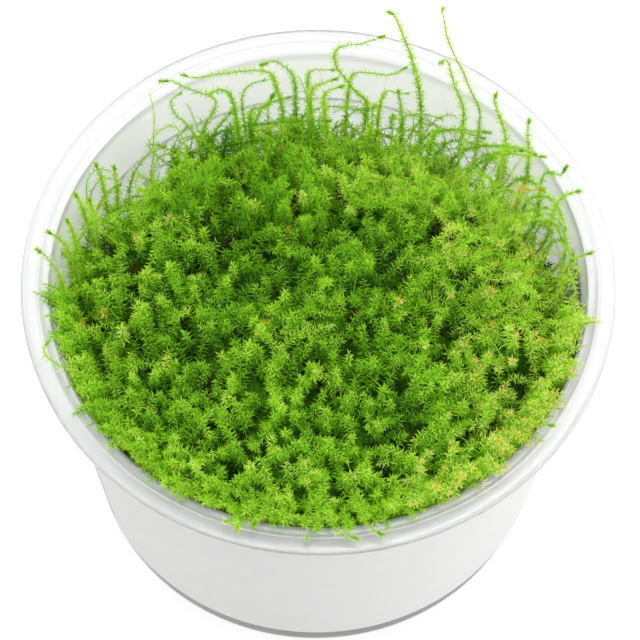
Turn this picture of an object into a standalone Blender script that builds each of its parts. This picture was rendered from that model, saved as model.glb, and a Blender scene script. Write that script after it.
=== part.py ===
"""A tissue-culture cup of feather-moss.

A turned plastic cup with a wide flange holds a layer of clear nutrient gel. A cushion of moss grows on
the gel and fills the cup to the brim at the front. It sinks away at the back, where long shoots stand up
and curl over the flange. A paper label wraps part of the wall.

Metres, +Z up. The origin is the centre of the cup's foot, on the surface that it stands on. The front
is -Y.
"""

import math
import random

import bmesh
import bpy
from mathutils import Vector, noise
from mathutils.bvhtree import BVHTree

MM = 0.001

# The cup.
RIM_RADIUS = 50.0 * MM
RIM_HEIGHT = 63.0 * MM
LIP_DEPTH = 1.7 * MM
LIP_ROUNDING = 0.6 * MM
SHOULDER = 1.6 * MM
FLANGE_UNDERSIDE = 1.3 * MM
GROOVE_OUT = 2.4 * MM
GROOVE_IN = 3.0 * MM
GROOVE_DEPTH = 0.5 * MM
MOUTH_RADIUS = 45.0 * MM
WALL = 0.7 * MM
LEDGE_DROP = 14.0 * MM
LEDGE_RADIUS = 44.5 * MM
FOOT_WALL_RADIUS = 41.0 * MM
FOOT_FILLET = 1.2 * MM
FOOT_RING_WIDTH = 5.6 * MM
FLOOR_RISE = 1.0 * MM
FLOOR = 0.8 * MM
CUP_STEPS = 48
GEL_STEPS = 28

# The label, with its ends as angles from the front, positive towards +X.
LABEL_GAP = 0.2 * MM
LABEL_THICKNESS = 0.25 * MM
LABEL_FOOT = 6.3 * MM
LABEL_HEAD = 55.5 * MM
LABEL_START = math.radians(-57.5)
LABEL_END = math.radians(104.0)
LABEL_STEPS = 24

# The gel and the cushion of moss. Its top lies below the rim, rises to the front, sinks to the back and
# drops along the sides. Each of these changes starts some way from the axis and has a run to finish in.
GAP = 0.3 * MM
GEL_TOP = 10.0 * MM
MOSS_SIDE_GAP = 0.5 * MM
MOSS_TOP = RIM_HEIGHT - 3.2 * MM
DRUM_TOP = RIM_HEIGHT - 4.0 * MM
MOSS_RINGS = 10
MOSS_STEPS = 36
FRONT_RISE, FRONT_START, FRONT_RUN = 2.6 * MM, 14 * MM, 24 * MM
BACK_SINK, BACK_START, BACK_RUN = 14.5 * MM, 2 * MM, 38 * MM
SIDE_DROP, SIDE_START, SIDE_RUN = 5.5 * MM, 33 * MM, 11 * MM
MOUND_HEIGHT, MOUND_SIZE = 2.2 * MM, 13 * MM
BUMP_HEIGHT, BUMP_SIZE, BUMP_SLICE = 1.0 * MM, 6 * MM, 9 * MM

# The tufts all over the cushion, and the tubes that shoots are made of.
LOCK_COUNT = 54
LOCK_SPREAD = 41.0 * MM
LOCK_REACH = 42.5 * MM
LOCK_LENGTH = 8.5 * MM
LOCK_RADIUS = 1.5 * MM
LOCK_ROOT_DEPTH = 3.5 * MM
LOCK_LEAN = (1.0 * MM, 4.0 * MM)
LOCK_SHOOT_SPACE = 3.4 * MM
LOCK_STEP = 4.5 * MM
LOCK_SEED = 11
GOLDEN_ANGLE = math.radians(137.508)
SHOOT_STEP = 2.9 * MM
THREAD_RADIUS = 0.65 * MM
ROOT_SHARE = 0.4
TIP_SHARE = 0.45

# Long shoots that stand out of the cushion: radius over the leaves, then the route from tip to root, in
# mm from the cup's axis and, for height, from the rim.
SHOOTS = {
    "shoot_left_hook": (0.9, (
        (-28, 33.5, 7.3), (-26, 33.3, 7.7), (-23.4, 33, 6), (-20, 32.5, 5), (-18, 32.3, 6.8),
        (-16.4, 32, 6.8), (-15.6, 31.8, 4.5), (-14.9, 31.4, -2), (-14.4, 31, -9),
    )),
    "shoot_left_bar": (0.8, (
        (-24.5, 37.5, 3.2), (-22.5, 37.5, 2.4), (-17, 37.5, 4), (-11.5, 37.5, 5.2), (-9, 37.5, 4),
        (-8.2, 37.5, 0), (-7.3, 37.5, -5), (-7, 37.5, -12),
    )),
    "shoot_left_loop": (0.5, (
        (-24.8, 36, -0.3), (-26, 35.3, -0.7), (-26.5, 34.7, -2), (-25.7, 33.7, -4), (-24, 32.8, -5),
        (-21.8, 31, -8), (-21.3, 30, -12),
    )),
    "shoot_left_thread": (0.5, (
        (-19.5, 34.7, 1), (-18.6, 34.6, -0.6), (-19.1, 34.5, -3.5), (-20.9, 34.3, -9),
        (-21.7, 34, -14),
    )),
    "shoot_back_loop": (0.5, (
        (-10.2, 40.5, -2.5), (-12.2, 39.7, -2.3), (-13.6, 39, -3.2), (-14.3, 38.3, -5),
        (-14.1, 37.3, -8), (-13.6, 36, -14),
    )),
    "shoot_back_bend": (0.8, (
        (-8.6, 34, 3), (-9.4, 34, 0), (-10.6, 34, -1.2), (-12.2, 34, -2), (-12.7, 34, -5),
        (-12.5, 34, -12),
    )),
    "shoot_back_curl": (0.9, (
        (-10.8, 40.5, 2.3), (-8.8, 40, 4.4), (-7, 39.6, 3.6), (-5.4, 39, 2), (-4.9, 38.5, -1),
        (-4.8, 38.2, -4.4), (-4.7, 38, -12),
    )),
    "shoot_back_arch": (0.6, (
        (1.8, 41.3, 0), (0, 41.1, 0.3), (-1.8, 41.1, 0.2), (-2.6, 41.1, -1.2), (-2.7, 41.1, -4),
        (-2.6, 41, -8), (-2.5, 40.7, -16),
    )),
    "shoot_s_curve": (0.9, (
        (10.2, 40.5, 12.2), (8.2, 40.2, 11.3), (6.3, 40, 10.4), (4.1, 39.7, 10.4), (2.6, 39.5, 10),
        (1.8, 39.2, 7.8), (2.3, 38.6, 5.1), (3.6, 38.1, 2.9), (4.9, 37.6, 0.5), (6.3, 37.3, -1.3),
        (7.6, 37.2, -3.2), (7.7, 37.3, -6.1), (7.6, 37.5, -13),
    )),
    "shoot_tall": (0.9, (
        (10.7, 41.5, 18), (11.6, 41.3, 17.7), (12.7, 41, 15), (13.9, 40.5, 10.9), (15.1, 40, 7),
        (16.1, 39.4, 2.5), (16.9, 38.9, -2.1), (17.4, 38.5, -6.3), (17.6, 38, -11.1),
        (17.7, 37.5, -16),
    )),
    "shoot_back_low": (0.6, (
        (14.4, 41, 1.8), (13, 41, 0.2), (11.3, 41, -0.8), (9.4, 41, -0.4), (6.8, 41, 0),
        (5.1, 41, -0.8), (4.6, 41, -4.4), (4.4, 41, -8.3), (4.2, 40.8, -16),
    )),
    "shoot_back_front_bar": (0.6, (
        (14.8, 35, 2.8), (12.9, 35, 2.8), (11.4, 35.1, 3.4), (10.6, 35.2, 2), (10, 35.4, -2),
        (9.7, 35.6, -12),
    )),
    "shoot_back_lean": (0.6, (
        (2.4, 35, 7), (0, 35.3, 5), (-1.6, 35.6, 3), (-2.2, 35.9, -1), (-2, 36, -6),
        (-1.6, 36, -14),
    )),
    "shoot_back_short": (0.6, (
        (3.4, 32.2, 9), (1.4, 32.4, 7.6), (0.2, 32.6, 5.4), (0.4, 32.8, 0), (1, 33, -10),
    )),
    "shoot_right_hook": (0.5, (
        (20.9, 35.4, -5.8), (18.9, 35.2, -4.4), (16.4, 35, -4), (14.5, 34.7, -4.2),
        (14, 34.5, -6.3), (14.1, 34, -14),
    )),
    "shoot_right_arm": (0.9, (
        (29, 28.8, 0.6), (25.9, 28.9, 0.8), (23.3, 29.1, 1), (21.1, 29.4, 0), (19.5, 29.8, -2.4),
        (18.7, 30, -12),
    )),
    "shoot_pale_tall": (0.8, (
        (20, 41, 21.5), (19.7, 40.6, 20.3), (20.2, 40, 18.3), (20.8, 39.2, 15), (21.6, 38.7, 12.3),
        (22.6, 38, 10), (24, 36.9, 7.4), (25.2, 35.8, 4.4), (26.4, 34.8, 2), (27.3, 34, 0),
        (27.5, 33, -2.7), (27.4, 32, -12),
    )),
    "shoot_crook": (0.8, (
        (19.9, 35.8, 11.4), (20.6, 35.7, 12.6), (21.3, 35.4, 12), (21.8, 34.8, 10), (22.7, 34, 7),
        (23.8, 33.2, 4), (24.5, 32.7, 1.5), (24.6, 32.3, -1), (24.6, 32, -12),
    )),
    "shoot_right_upright": (0.6, (
        (29.5, 31, 9.6), (29.4, 30.6, 7.6), (30.6, 29.9, 3.8), (31.7, 29.1, 0), (32, 28.5, -3),
        (32.2, 28, -12),
    )),
    "shoot_right_post": (0.7, (
        (35.1, 26.5, 8.7), (35.1, 25.9, 6), (35.5, 25.1, 2.6), (35.8, 24.4, -0.7), (35.8, 24, -10),
    )),
    "shoot_right_bar": (0.6, (
        (38.1, 22, 4.2), (36.2, 22.2, 4), (34.4, 22.4, 3.8), (32.6, 22.8, 3.6), (31.2, 23.4, 1.6),
        (30.8, 24, -9),
    )),
    "shoot_right_wave": (0.9, (
        (41.6, 19.2, 6), (40.9, 18.4, 4.7), (39.8, 18.9, 3.7), (38.6, 20, 2.5), (37.8, 19.6, 1),
        (37.7, 18.6, -1.5), (37.7, 17.6, -10),
    )),
    "shoot_right_yellow": (0.7, (
        (37.2, 16.2, 4), (36.2, 16.2, 2.8), (35, 17, 1.4), (34.3, 18.4, 0), (34, 18, -2.4),
        (33.9, 17.6, -9),
    )),
    "shoot_right_drape": (0.9, (
        (36.2, 10.6, 3.4), (38, 11.4, 3.2), (39.8, 11.2, 2.2), (41.2, 10, 1), (41.8, 8.2, -0.8),
        (41.8, 6.6, -3), (41.4, 5.4, -9),
    )),
    "shoot_right_tip": (0.7, (
        (43.6, 14, 6.6), (42.2, 14.4, 5), (41, 14.8, 3), (40.2, 14.6, 0.6), (39.8, 14.2, -3),
        (39.4, 13.8, -10),
    )),
}

# Shorter shoots, most of them leaning over the brim, that are one with the cushion, in the same units.
BRIM_SHOOTS = (
    (0.7, ((-38.2, 18, 5), (-37.5, 17.8, 0), (-36.8, 17, -12))),
    (0.6, ((-35.2, 18.1, 4), (-35, 17.7, -3), (-35.3, 17, -12))),
    (0.7, ((-41.3, 12, 5), (-40.4, 12.2, 0), (-39.6, 12, -10))),
    (0.6, ((-38.6, 9.4, 8), (-38.2, 9.6, 2), (-37.8, 9.6, -8))),
    (0.7, ((-42.4, 7, 5), (-41.6, 7, 0), (-41, 7, -10))),
    (0.9, ((-45.4, 4.6, 5), (-43.9, 4.6, 3.2), (-42.6, 4.2, 0), (-41.8, 3.4, -9))),
    (0.9, ((-47, 1, 5.4), (-45.4, 0.4, 3.8), (-43.4, -1.4, 1), (-42, -3.4, -7))),
    (0.8, (
        (-44, -15, 3.4), (-44.8, -16.2, 3.2), (-44.2, -17.7, 2.9), (-42, -19, 2.4), (-39, -20, 0),
        (-37, -20, -6),
    )),
    (0.5, ((-16, 36, -6), (-18, 35.6, -9.4), (-19.4, 35, -13), (-20, 34, -20))),
    (0.7, ((45.6, 3.6, 4), (43.8, 3.6, 2.6), (42.2, 3.2, 0.8), (41, 2, -9))),
    (0.7, ((38.6, -28.4, 3.6), (36.4, -27.6, 2.6), (33.6, -26.4, 0), (31.6, -25.4, -6))),
    (0.8, ((7.1, -48.4, 2.4), (4.8, -47.7, 2.4), (3.2, -46.2, 2.3), (2.4, -43.6, 1.2), (2, -40.6, -5))),
    (0.6, ((11.2, -47.6, 2.2), (9.4, -46.6, 2.2), (8.2, -44.8, 2), (7.4, -42.4, 0.6), (6.8, -40, -5))),
    (0.8, ((-9.6, -46.6, 2.2), (-8.4, -45, 2), (-7.4, -42.6, 0.8), (-6.6, -40, -5))),
    (0.8, ((-22.4, -41, 2.2), (-20.8, -39.8, 2), (-18.8, -37.6, 0.6), (-17, -35.6, -5))),
    (0.8, ((20.4, -41.6, 2.2), (18.8, -40.2, 2), (17.2, -38, 0.6), (15.6, -35.8, -5))),
    (0.8, ((-33, -33, 2.2), (-31.2, -31.6, 2), (-29.2, -29.8, 0.4), (-27.2, -28.2, -6))),
)


def material(name, colour, roughness, alpha=1.0):
    made = bpy.data.materials.new(name)
    made.use_nodes = True
    shader = made.node_tree.nodes["Principled BSDF"]
    shader.inputs["Base Color"].default_value = (*colour, 1.0)
    shader.inputs["Roughness"].default_value = roughness
    shader.inputs["Metallic"].default_value = 0.0
    shader.inputs["Alpha"].default_value = alpha
    return made


def collection(name):
    made = bpy.data.collections.new(name)
    bpy.context.scene.collection.children.link(made)
    return made


def outer_radius(height):
    """The cup wall's outer radius at a height: a near-upright collar over a tapered body."""
    ledge = RIM_HEIGHT - LEDGE_DROP
    if height > ledge:
        share = (height - ledge) / LEDGE_DROP
        return WALL + LEDGE_RADIUS + (MOUTH_RADIUS - LEDGE_RADIUS) * share
    return FOOT_WALL_RADIUS + (WALL + LEDGE_RADIUS - FOOT_WALL_RADIUS) * height / ledge


def inner_radius(height):
    return outer_radius(height) - WALL


def arc(centre, radius, start, end, count):
    """Points (r, z) on an arc, angles in degrees from +r towards +z."""
    angles = (math.radians(start + (end - start) * i / (count - 1)) for i in range(count))
    return [(centre[0] + radius * math.cos(a), centre[1] + radius * math.sin(a)) for a in angles]


def cup_profile():
    """From the middle of the floor up the inside, over the flange, and down the outside to the foot."""
    top = RIM_HEIGHT
    ledge = top - LEDGE_DROP
    ring_out = FOOT_WALL_RADIUS - FOOT_FILLET
    ring_in = ring_out - FOOT_RING_WIDTH
    inside = [
        (0.0, FLOOR_RISE + FLOOR),
        (ring_in - FLOOR, FLOOR_RISE + FLOOR),
        (ring_in + 0.4 * MM, FLOOR),
        (ring_out, FLOOR),
        (inner_radius(FOOT_FILLET), FOOT_FILLET + 0.3 * MM),
        (inner_radius(ledge) - 0.35 * MM, ledge - 0.7 * MM),
        (inner_radius(ledge), ledge),
        (inner_radius(top - SHOULDER), top - SHOULDER - 0.6 * MM),
    ]
    rounding = arc((MOUTH_RADIUS + SHOULDER, top - SHOULDER - 0.3 * MM), SHOULDER, 165, 100, 3)
    groove = [(RIM_RADIUS - GROOVE_IN, top - GROOVE_DEPTH), (RIM_RADIUS - GROOVE_OUT, top)]
    edge = arc((RIM_RADIUS - LIP_ROUNDING, top - LIP_ROUNDING), LIP_ROUNDING, 90, 0, 3)
    under = [
        (RIM_RADIUS - 0.1 * MM, top - LIP_DEPTH),
        (RIM_RADIUS - 0.7 * MM, top - LIP_DEPTH),
        (RIM_RADIUS - 0.9 * MM, top - 1.1 * MM),
        (MOUTH_RADIUS + SHOULDER, top - FLANGE_UNDERSIDE),
        (outer_radius(top - 2 * FLANGE_UNDERSIDE), top - 2 * FLANGE_UNDERSIDE),
        (outer_radius(ledge), ledge),
        (outer_radius(FOOT_FILLET), FOOT_FILLET),
    ]
    fillet = arc((ring_out, FOOT_FILLET), FOOT_FILLET, -30, -90, 3)
    foot = [(ring_in, 0.0), (ring_in - FLOOR, FLOOR_RISE), (0.0, FLOOR_RISE)]
    return inside + rounding + groove + edge + under + fillet + foot


def gel_profile():
    """Clear of the floor and the wall all round, with the axis at both ends."""
    ring_out = FOOT_WALL_RADIUS - FOOT_FILLET
    ring_in = ring_out - FOOT_RING_WIDTH
    low = FLOOR + GAP
    high = FLOOR_RISE + FLOOR + GAP
    return [
        (0.0, GEL_TOP),
        (inner_radius(GEL_TOP) - GAP, GEL_TOP),
        (inner_radius(FOOT_FILLET) - GAP, FOOT_FILLET + 0.6 * MM),
        (ring_out - GAP, low),
        (ring_in + 0.4 * MM, low),
        (ring_in - FLOOR, high),
        (0.0, high),
    ]


def smooth(value):
    value = min(max(value, 0.0), 1.0)
    return value * value * (3.0 - 2.0 * value)


def moss_height(x, y):
    """Height of the cushion's top at a place, mounds included."""
    r = math.hypot(x, y)
    front = smooth((-y - FRONT_START) / FRONT_RUN)
    sunk = smooth((y - BACK_START) / BACK_RUN)
    side = smooth((r - SIDE_START) / SIDE_RUN) * (1.0 - front)
    mound = MOUND_HEIGHT * noise.noise(Vector((x, y, 0.0)) / MOUND_SIZE)
    bump = BUMP_HEIGHT * noise.noise(Vector((x, y, BUMP_SLICE)) / BUMP_SIZE)
    return MOSS_TOP + FRONT_RISE * front - BACK_SINK * sunk - SIDE_DROP * side + mound + bump


def moss_profile():
    """A flat-topped drum, ringed finely enough on top for the mounds."""
    edge = inner_radius(DRUM_TOP) - MOSS_SIDE_GAP
    rings = [(edge * i / MOSS_RINGS, DRUM_TOP) for i in range(MOSS_RINGS + 1)]
    middle = (GEL_TOP + DRUM_TOP) / 2
    foot = GEL_TOP + GAP
    sides = [(inner_radius(z) - MOSS_SIDE_GAP, z) for z in (middle, foot)]
    return rings + sides + [(0.0, foot)]


def profile_object(name, points, into):
    mesh = bpy.data.meshes.new(name)
    mesh.from_pydata([(r, 0.0, z) for r, z in points], [(i, i + 1) for i in range(len(points) - 1)], [])
    made = bpy.data.objects.new(name, mesh)
    into.objects.link(made)
    return made


def screw(target, steps, angle=math.tau):
    turn = target.modifiers.new("turn", "SCREW")
    turn.axis = "Z"
    turn.angle = angle
    turn.steps = steps
    turn.render_steps = steps
    turn.use_merge_vertices = True
    turn.merge_threshold = 0.01 * MM
    weld = target.modifiers.new("weld", "WELD")
    weld.merge_threshold = 0.01 * MM


def turned(name, points, steps, finish, into):
    made = profile_object(name, points, into)
    screw(made, steps)
    made.data.materials.append(finish)
    return made


def evaluated_mesh(source):
    graph = bpy.context.evaluated_depsgraph_get()
    return bpy.data.meshes.new_from_object(source.evaluated_get(graph))


def make_label(finish, into):
    """A strip of paper that follows the collar and the tapered body, from one end angle to the other."""
    bend = RIM_HEIGHT - LEDGE_DROP
    points = [(outer_radius(z) + LABEL_GAP, z) for z in (LABEL_HEAD, bend, LABEL_FOOT)]
    label = profile_object("label", points, into)
    label.rotation_euler.z = LABEL_START - math.pi / 2
    screw(label, LABEL_STEPS, LABEL_END - LABEL_START)
    paper = label.modifiers.new("paper", "SOLIDIFY")
    paper.thickness = LABEL_THICKNESS
    paper.offset = 1.0
    label.data.materials.append(finish)
    return label


def spline_point(points, index, share):
    """A point on a smooth curve through the given points."""
    a, b, c, d = (points[min(max(index + k, 0), len(points) - 1)] for k in (-1, 0, 1, 2))
    square = (2 * a - 5 * b + 4 * c - d) * share**2
    cube = (3 * b - a - 3 * c + d) * share**3
    return 0.5 * (2 * b + (c - a) * share + square + cube)


def smooth_route(points, step):
    route = []
    for i in range(len(points) - 1):
        count = max(1, round((points[i + 1] - points[i]).length / step))
        route += [spline_point(points, i, k / count) for k in range(count)]
    return route + [points[-1]]


def from_rim(points):
    return [Vector((x, y, z)) * MM + Vector((0, 0, RIM_HEIGHT)) for x, y, z in points]


def shoot_tube(name, route, radius, into):
    """A leafy shoot as a tube, drawn in at its root and tip. The route starts at the tip."""
    curve = bpy.data.curves.new(name, "CURVE")
    curve.dimensions = "3D"
    curve.bevel_depth = radius
    curve.bevel_resolution = 0 if radius < THREAD_RADIUS else 1
    curve.use_fill_caps = True
    spline = curve.splines.new("POLY")
    spline.points.add(len(route) - 1)
    last = len(route) - 1
    for i, (point, place) in enumerate(zip(spline.points, route)):
        point.co = (*place, 1.0)
        at = i / last
        point.radius = min(1.0, TIP_SHARE + 4.0 * at, ROOT_SHARE + 3.0 * (1.0 - at))
    made = bpy.data.objects.new(name, curve)
    into.objects.link(made)
    return made


def as_mesh(curve_object, into):
    """The tube as a closed mesh object, in the curve's place."""
    mesh = evaluated_mesh(curve_object)
    work = bmesh.new()
    work.from_mesh(mesh)
    bmesh.ops.remove_doubles(work, verts=work.verts, dist=0.01 * MM)
    bmesh.ops.recalc_face_normals(work, faces=work.faces)
    work.to_mesh(mesh)
    work.free()
    made = bpy.data.objects.new(curve_object.name, mesh)
    made.matrix_world = curve_object.matrix_world
    curve = curve_object.data
    bpy.data.objects.remove(curve_object)
    bpy.data.curves.remove(curve)
    into.objects.link(made)
    return made


def rooted(points):
    """The route with its last point pushed down into the cushion."""
    root = points[-1]
    root.z = min(root.z, moss_height(root.x, root.y) - LOCK_ROOT_DEPTH)
    return points


def lock_routes(shoot_routes):
    """Tufts all over the cushion, spread like seeds in a sunflower and clear of the long shoots."""
    draw = random.Random(LOCK_SEED)
    places = [place for route in shoot_routes for place in route]
    routes = []
    for i in range(LOCK_COUNT):
        r = LOCK_SPREAD * math.sqrt((i + 0.5) / LOCK_COUNT)
        turn = i * GOLDEN_ANGLE
        foot = Vector((r * math.cos(turn), r * math.sin(turn), 0.0))
        foot.z = moss_height(foot.x, foot.y) - LOCK_ROOT_DEPTH
        lean = draw.uniform(0, math.tau)
        swing = Vector((math.cos(lean), math.sin(lean), 0.0)) * draw.uniform(*LOCK_LEAN)
        tip = foot + swing + Vector((0, 0, LOCK_LENGTH * draw.uniform(0.8, 1.15)))
        middle = foot.lerp(tip, 0.55) - swing * 0.25
        reach = math.hypot(tip.x, tip.y)
        if reach > LOCK_REACH:
            tip.x *= LOCK_REACH / reach
            tip.y *= LOCK_REACH / reach
        near = min((end - place).length for end in (tip, middle) for place in places)
        if near > LOCK_SHOOT_SPACE:
            routes.append([tip, middle, foot])
    return routes


def make_moss(finish, into, guides, shoot_routes):
    """The cushion: a turned drum whose top is moved into mounds, joined with its tufts."""
    drum = profile_object("drum", moss_profile(), guides)
    screw(drum, MOSS_STEPS)
    mesh = evaluated_mesh(drum)
    bpy.data.objects.remove(drum)
    for vertex in mesh.vertices:
        if abs(vertex.co.z - DRUM_TOP) < 0.01 * MM:
            r = math.hypot(vertex.co.x, vertex.co.y)
            vertex.co.z = moss_height(vertex.co.x, vertex.co.y)
            keep = min(r, inner_radius(vertex.co.z) - MOSS_SIDE_GAP)
            if r > 0.0:
                vertex.co.x *= keep / r
                vertex.co.y *= keep / r
    mesh.name = "moss_cushion"
    mesh.materials.clear()
    mesh.materials.append(finish)
    cushion = bpy.data.objects.new("moss_cushion", mesh)
    into.objects.link(cushion)

    tufts = collection("tufts")
    routes = [(LOCK_RADIUS, route) for route in lock_routes(shoot_routes)]
    routes += [(radius * MM, rooted(from_rim(points))) for radius, points in BRIM_SHOOTS]
    for i, (radius, points) in enumerate(routes):
        tube = shoot_tube(f"tuft_{i}", smooth_route(points, LOCK_STEP), radius, guides)
        tuft = as_mesh(tube, tufts)
        tuft.hide_render = True
        tuft.display_type = "WIRE"
    join = cushion.modifiers.new("tufts", "BOOLEAN")
    join.operation = "UNION"
    join.operand_type = "COLLECTION"
    join.collection = tufts
    join.solver = "EXACT"
    return cushion


def is_free(place, surface, clearance):
    """Whether a place is outside the cushion, and at least the clearance away from it."""
    hit, normal, _, _ = surface.ray_cast(place, Vector((0, 0, -1)))
    outside = hit is None or normal.z > 0
    return outside and surface.find_nearest(place)[3] > clearance


def grounded(route, surface, clearance):
    """The route cut where it meets the cushion, or led straight down to it, to stand just clear."""
    step = 0.1 * MM
    kept = [route[0]]
    for target in route[1:] + [route[-1] - Vector((0, 0, RIM_HEIGHT / 2))]:
        place = kept[-1]
        way = target - place
        count = max(1, round(way.length / step))
        for i in range(1, count + 1):
            if not is_free(kept[-1] + way * (i / count), surface, clearance):
                return kept + [place]
            place = kept[-1] + way * (i / count)
        kept.append(target)
    return kept


def main():
    for old in list(bpy.data.objects):
        bpy.data.objects.remove(old)
    model = collection("feather_moss_cup")
    guides = collection("guides")

    plastic = material("clouded_plastic", (0.90, 0.92, 0.90), 0.25, 0.5)
    paper = material("label_paper", (0.80, 0.80, 0.79), 0.55)
    gel = material("nutrient_gel", (0.86, 0.86, 0.74), 0.1, 0.4)
    moss = material("moss_green", (0.13, 0.36, 0.03), 0.6)

    turned("cup", cup_profile(), CUP_STEPS, plastic, model)
    turned("nutrient_gel", gel_profile(), GEL_STEPS, gel, model)
    make_label(paper, model)

    routes = {
        name: smooth_route(from_rim(points), SHOOT_STEP) for name, (_, points) in SHOOTS.items()
    }
    cushion = make_moss(moss, model, guides, list(routes.values()))
    bpy.context.view_layer.update()
    surface = BVHTree.FromObject(cushion, bpy.context.evaluated_depsgraph_get())
    for name, (radius, _) in SHOOTS.items():
        route = grounded(routes[name], surface, GAP + radius * MM * ROOT_SHARE)
        shoot = shoot_tube(name, route, radius * MM, model)
        shoot.data.materials.append(moss)


main()
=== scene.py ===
"""Looks for a tissue-culture cup of feather-moss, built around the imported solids.

A milky plastic cup with a wide flange holds clear gel and a cushion of moss. The moss is grown shoot by
shoot: a route for each stem, set with narrow leaves by one geometry-nodes tree. Every leaf carries a place
on a palette, its tone across and its length up, which the moss material reads.

Metres, +Z up, the front towards -Y.
"""

import math
import random
from collections import namedtuple

import bmesh
import bpy
from mathutils import Matrix, Vector, noise


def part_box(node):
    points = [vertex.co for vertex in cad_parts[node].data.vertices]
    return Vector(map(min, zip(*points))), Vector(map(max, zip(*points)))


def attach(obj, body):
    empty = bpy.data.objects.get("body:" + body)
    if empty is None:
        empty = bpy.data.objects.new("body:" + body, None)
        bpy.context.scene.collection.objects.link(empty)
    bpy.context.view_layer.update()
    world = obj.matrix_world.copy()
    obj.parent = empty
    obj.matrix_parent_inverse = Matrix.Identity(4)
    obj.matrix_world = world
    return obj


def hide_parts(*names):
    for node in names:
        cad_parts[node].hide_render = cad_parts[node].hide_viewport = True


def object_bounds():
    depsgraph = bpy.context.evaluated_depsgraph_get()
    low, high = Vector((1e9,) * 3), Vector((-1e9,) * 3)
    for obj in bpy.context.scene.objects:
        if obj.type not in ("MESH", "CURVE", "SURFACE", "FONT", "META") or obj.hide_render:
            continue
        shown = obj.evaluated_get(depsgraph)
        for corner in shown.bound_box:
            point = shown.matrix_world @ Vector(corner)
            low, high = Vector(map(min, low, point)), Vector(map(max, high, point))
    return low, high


MM = 0.001

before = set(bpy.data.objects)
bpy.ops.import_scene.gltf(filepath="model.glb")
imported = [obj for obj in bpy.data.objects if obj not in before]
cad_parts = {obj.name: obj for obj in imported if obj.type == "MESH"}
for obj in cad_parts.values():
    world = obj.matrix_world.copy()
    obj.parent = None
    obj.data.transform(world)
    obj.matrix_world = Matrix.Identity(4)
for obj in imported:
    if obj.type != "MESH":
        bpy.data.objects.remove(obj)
cad_low, cad_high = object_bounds()
_, CUP_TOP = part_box("cup")
RIM_RADIUS = CUP_TOP[0]
RIM_HEIGHT = CUP_TOP[2]
GEL_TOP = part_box("nutrient_gel")[1][2]

# The cup, as it is in the solids.
MOUTH_RADIUS = RIM_RADIUS - 5.0 * MM
LIP_ROUNDING = 0.6 * MM
SHOULDER = 1.6 * MM
WALL = 0.7 * MM
LEDGE_DROP = 14.0 * MM
LEDGE_RADIUS = 44.5 * MM
FOOT_WALL_RADIUS = 41.0 * MM
FOOT_FILLET = 1.2 * MM
FOOT_RING_WIDTH = 5.6 * MM
RING_OUT = FOOT_WALL_RADIUS - FOOT_FILLET
RING_IN = RING_OUT - FOOT_RING_WIDTH
RING_SLOPE = 0.4 * MM
FLOOR_RISE = 1.0 * MM
FLOOR = 0.8 * MM
CORNER = 1.0 * MM
CORNER_TOP = FOOT_FILLET + 0.6 * MM
TURN_STEPS, GEL_STEPS = 192, 96

# Small points of the cup's outline, in mm: the ledge's rounding, in from the wall and down from the ledge,
# then the flange's groove and the underside of its edge, in from the edge and down from the top.
LEDGE_ROUNDING = ((0.35, 0.7), (0.25, 0.25))
GROOVE = ((3.15, 0.45), (3.0, 0.5), (2.75, 0.42), (2.5, 0.08), (2.3, 0.0))
UNDER_EDGE = ((0.1, 1.6), (0.2, 1.7), (0.7, 1.7), (0.9, 1.1))
UNDER_SHOULDER = 1.3 * MM
SHOULDER_FOOT, SHOULDER_CENTRE, CORNER_INSET = 0.6 * MM, 0.3 * MM, 0.02 * MM
COLLAR_TOP, COLLAR_FLARE, COLLAR_FLARE_TOP = RIM_HEIGHT - 2.6 * MM, 0.2 * MM, RIM_HEIGHT - 1.7 * MM

# The gel, drawn up where it wets the wall: how high, then points in from its edge and up from its flat top,
# in mm, and a point of its corner, out from the foot ring and up from the cup's floor.
MENISCUS = 0.7 * MM
MENISCUS_CURVE = ((4.0, 0.0), (1.5, 0.12), (0.5, 0.35))
GEL_CORNER = (0.05 * MM, 0.35 * MM)

# The label, with its ends as angles from the front, positive towards +X.
LABEL_GAP = 0.2 * MM
LABEL_THICKNESS = 0.25 * MM
LABEL_FOOT = 6.3 * MM
LABEL_HEAD = 55.5 * MM
LABEL_BEND = 1.0 * MM
LABEL_STEPS = 120
LABEL_START = math.radians(-57.5)
LABEL_END = math.radians(104.0)

# Clear space between the cup, the gel and the moss.
GAP = 0.3 * MM

# The cushion's top, as it is in the solids.
MOSS_TOP = RIM_HEIGHT - 3.2 * MM
FRONT_RISE, FRONT_START, FRONT_RUN = 2.6 * MM, 14 * MM, 24 * MM
BACK_SINK, BACK_START, BACK_RUN = 14.5 * MM, 2 * MM, 38 * MM
SIDE_DROP, SIDE_START, SIDE_RUN = 5.5 * MM, 33 * MM, 11 * MM
MOUND_HEIGHT, MOUND_SIZE = 2.2 * MM, 13 * MM
BUMP_HEIGHT, BUMP_SIZE, BUMP_SLICE = 1.0 * MM, 6 * MM, 9 * MM

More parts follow.
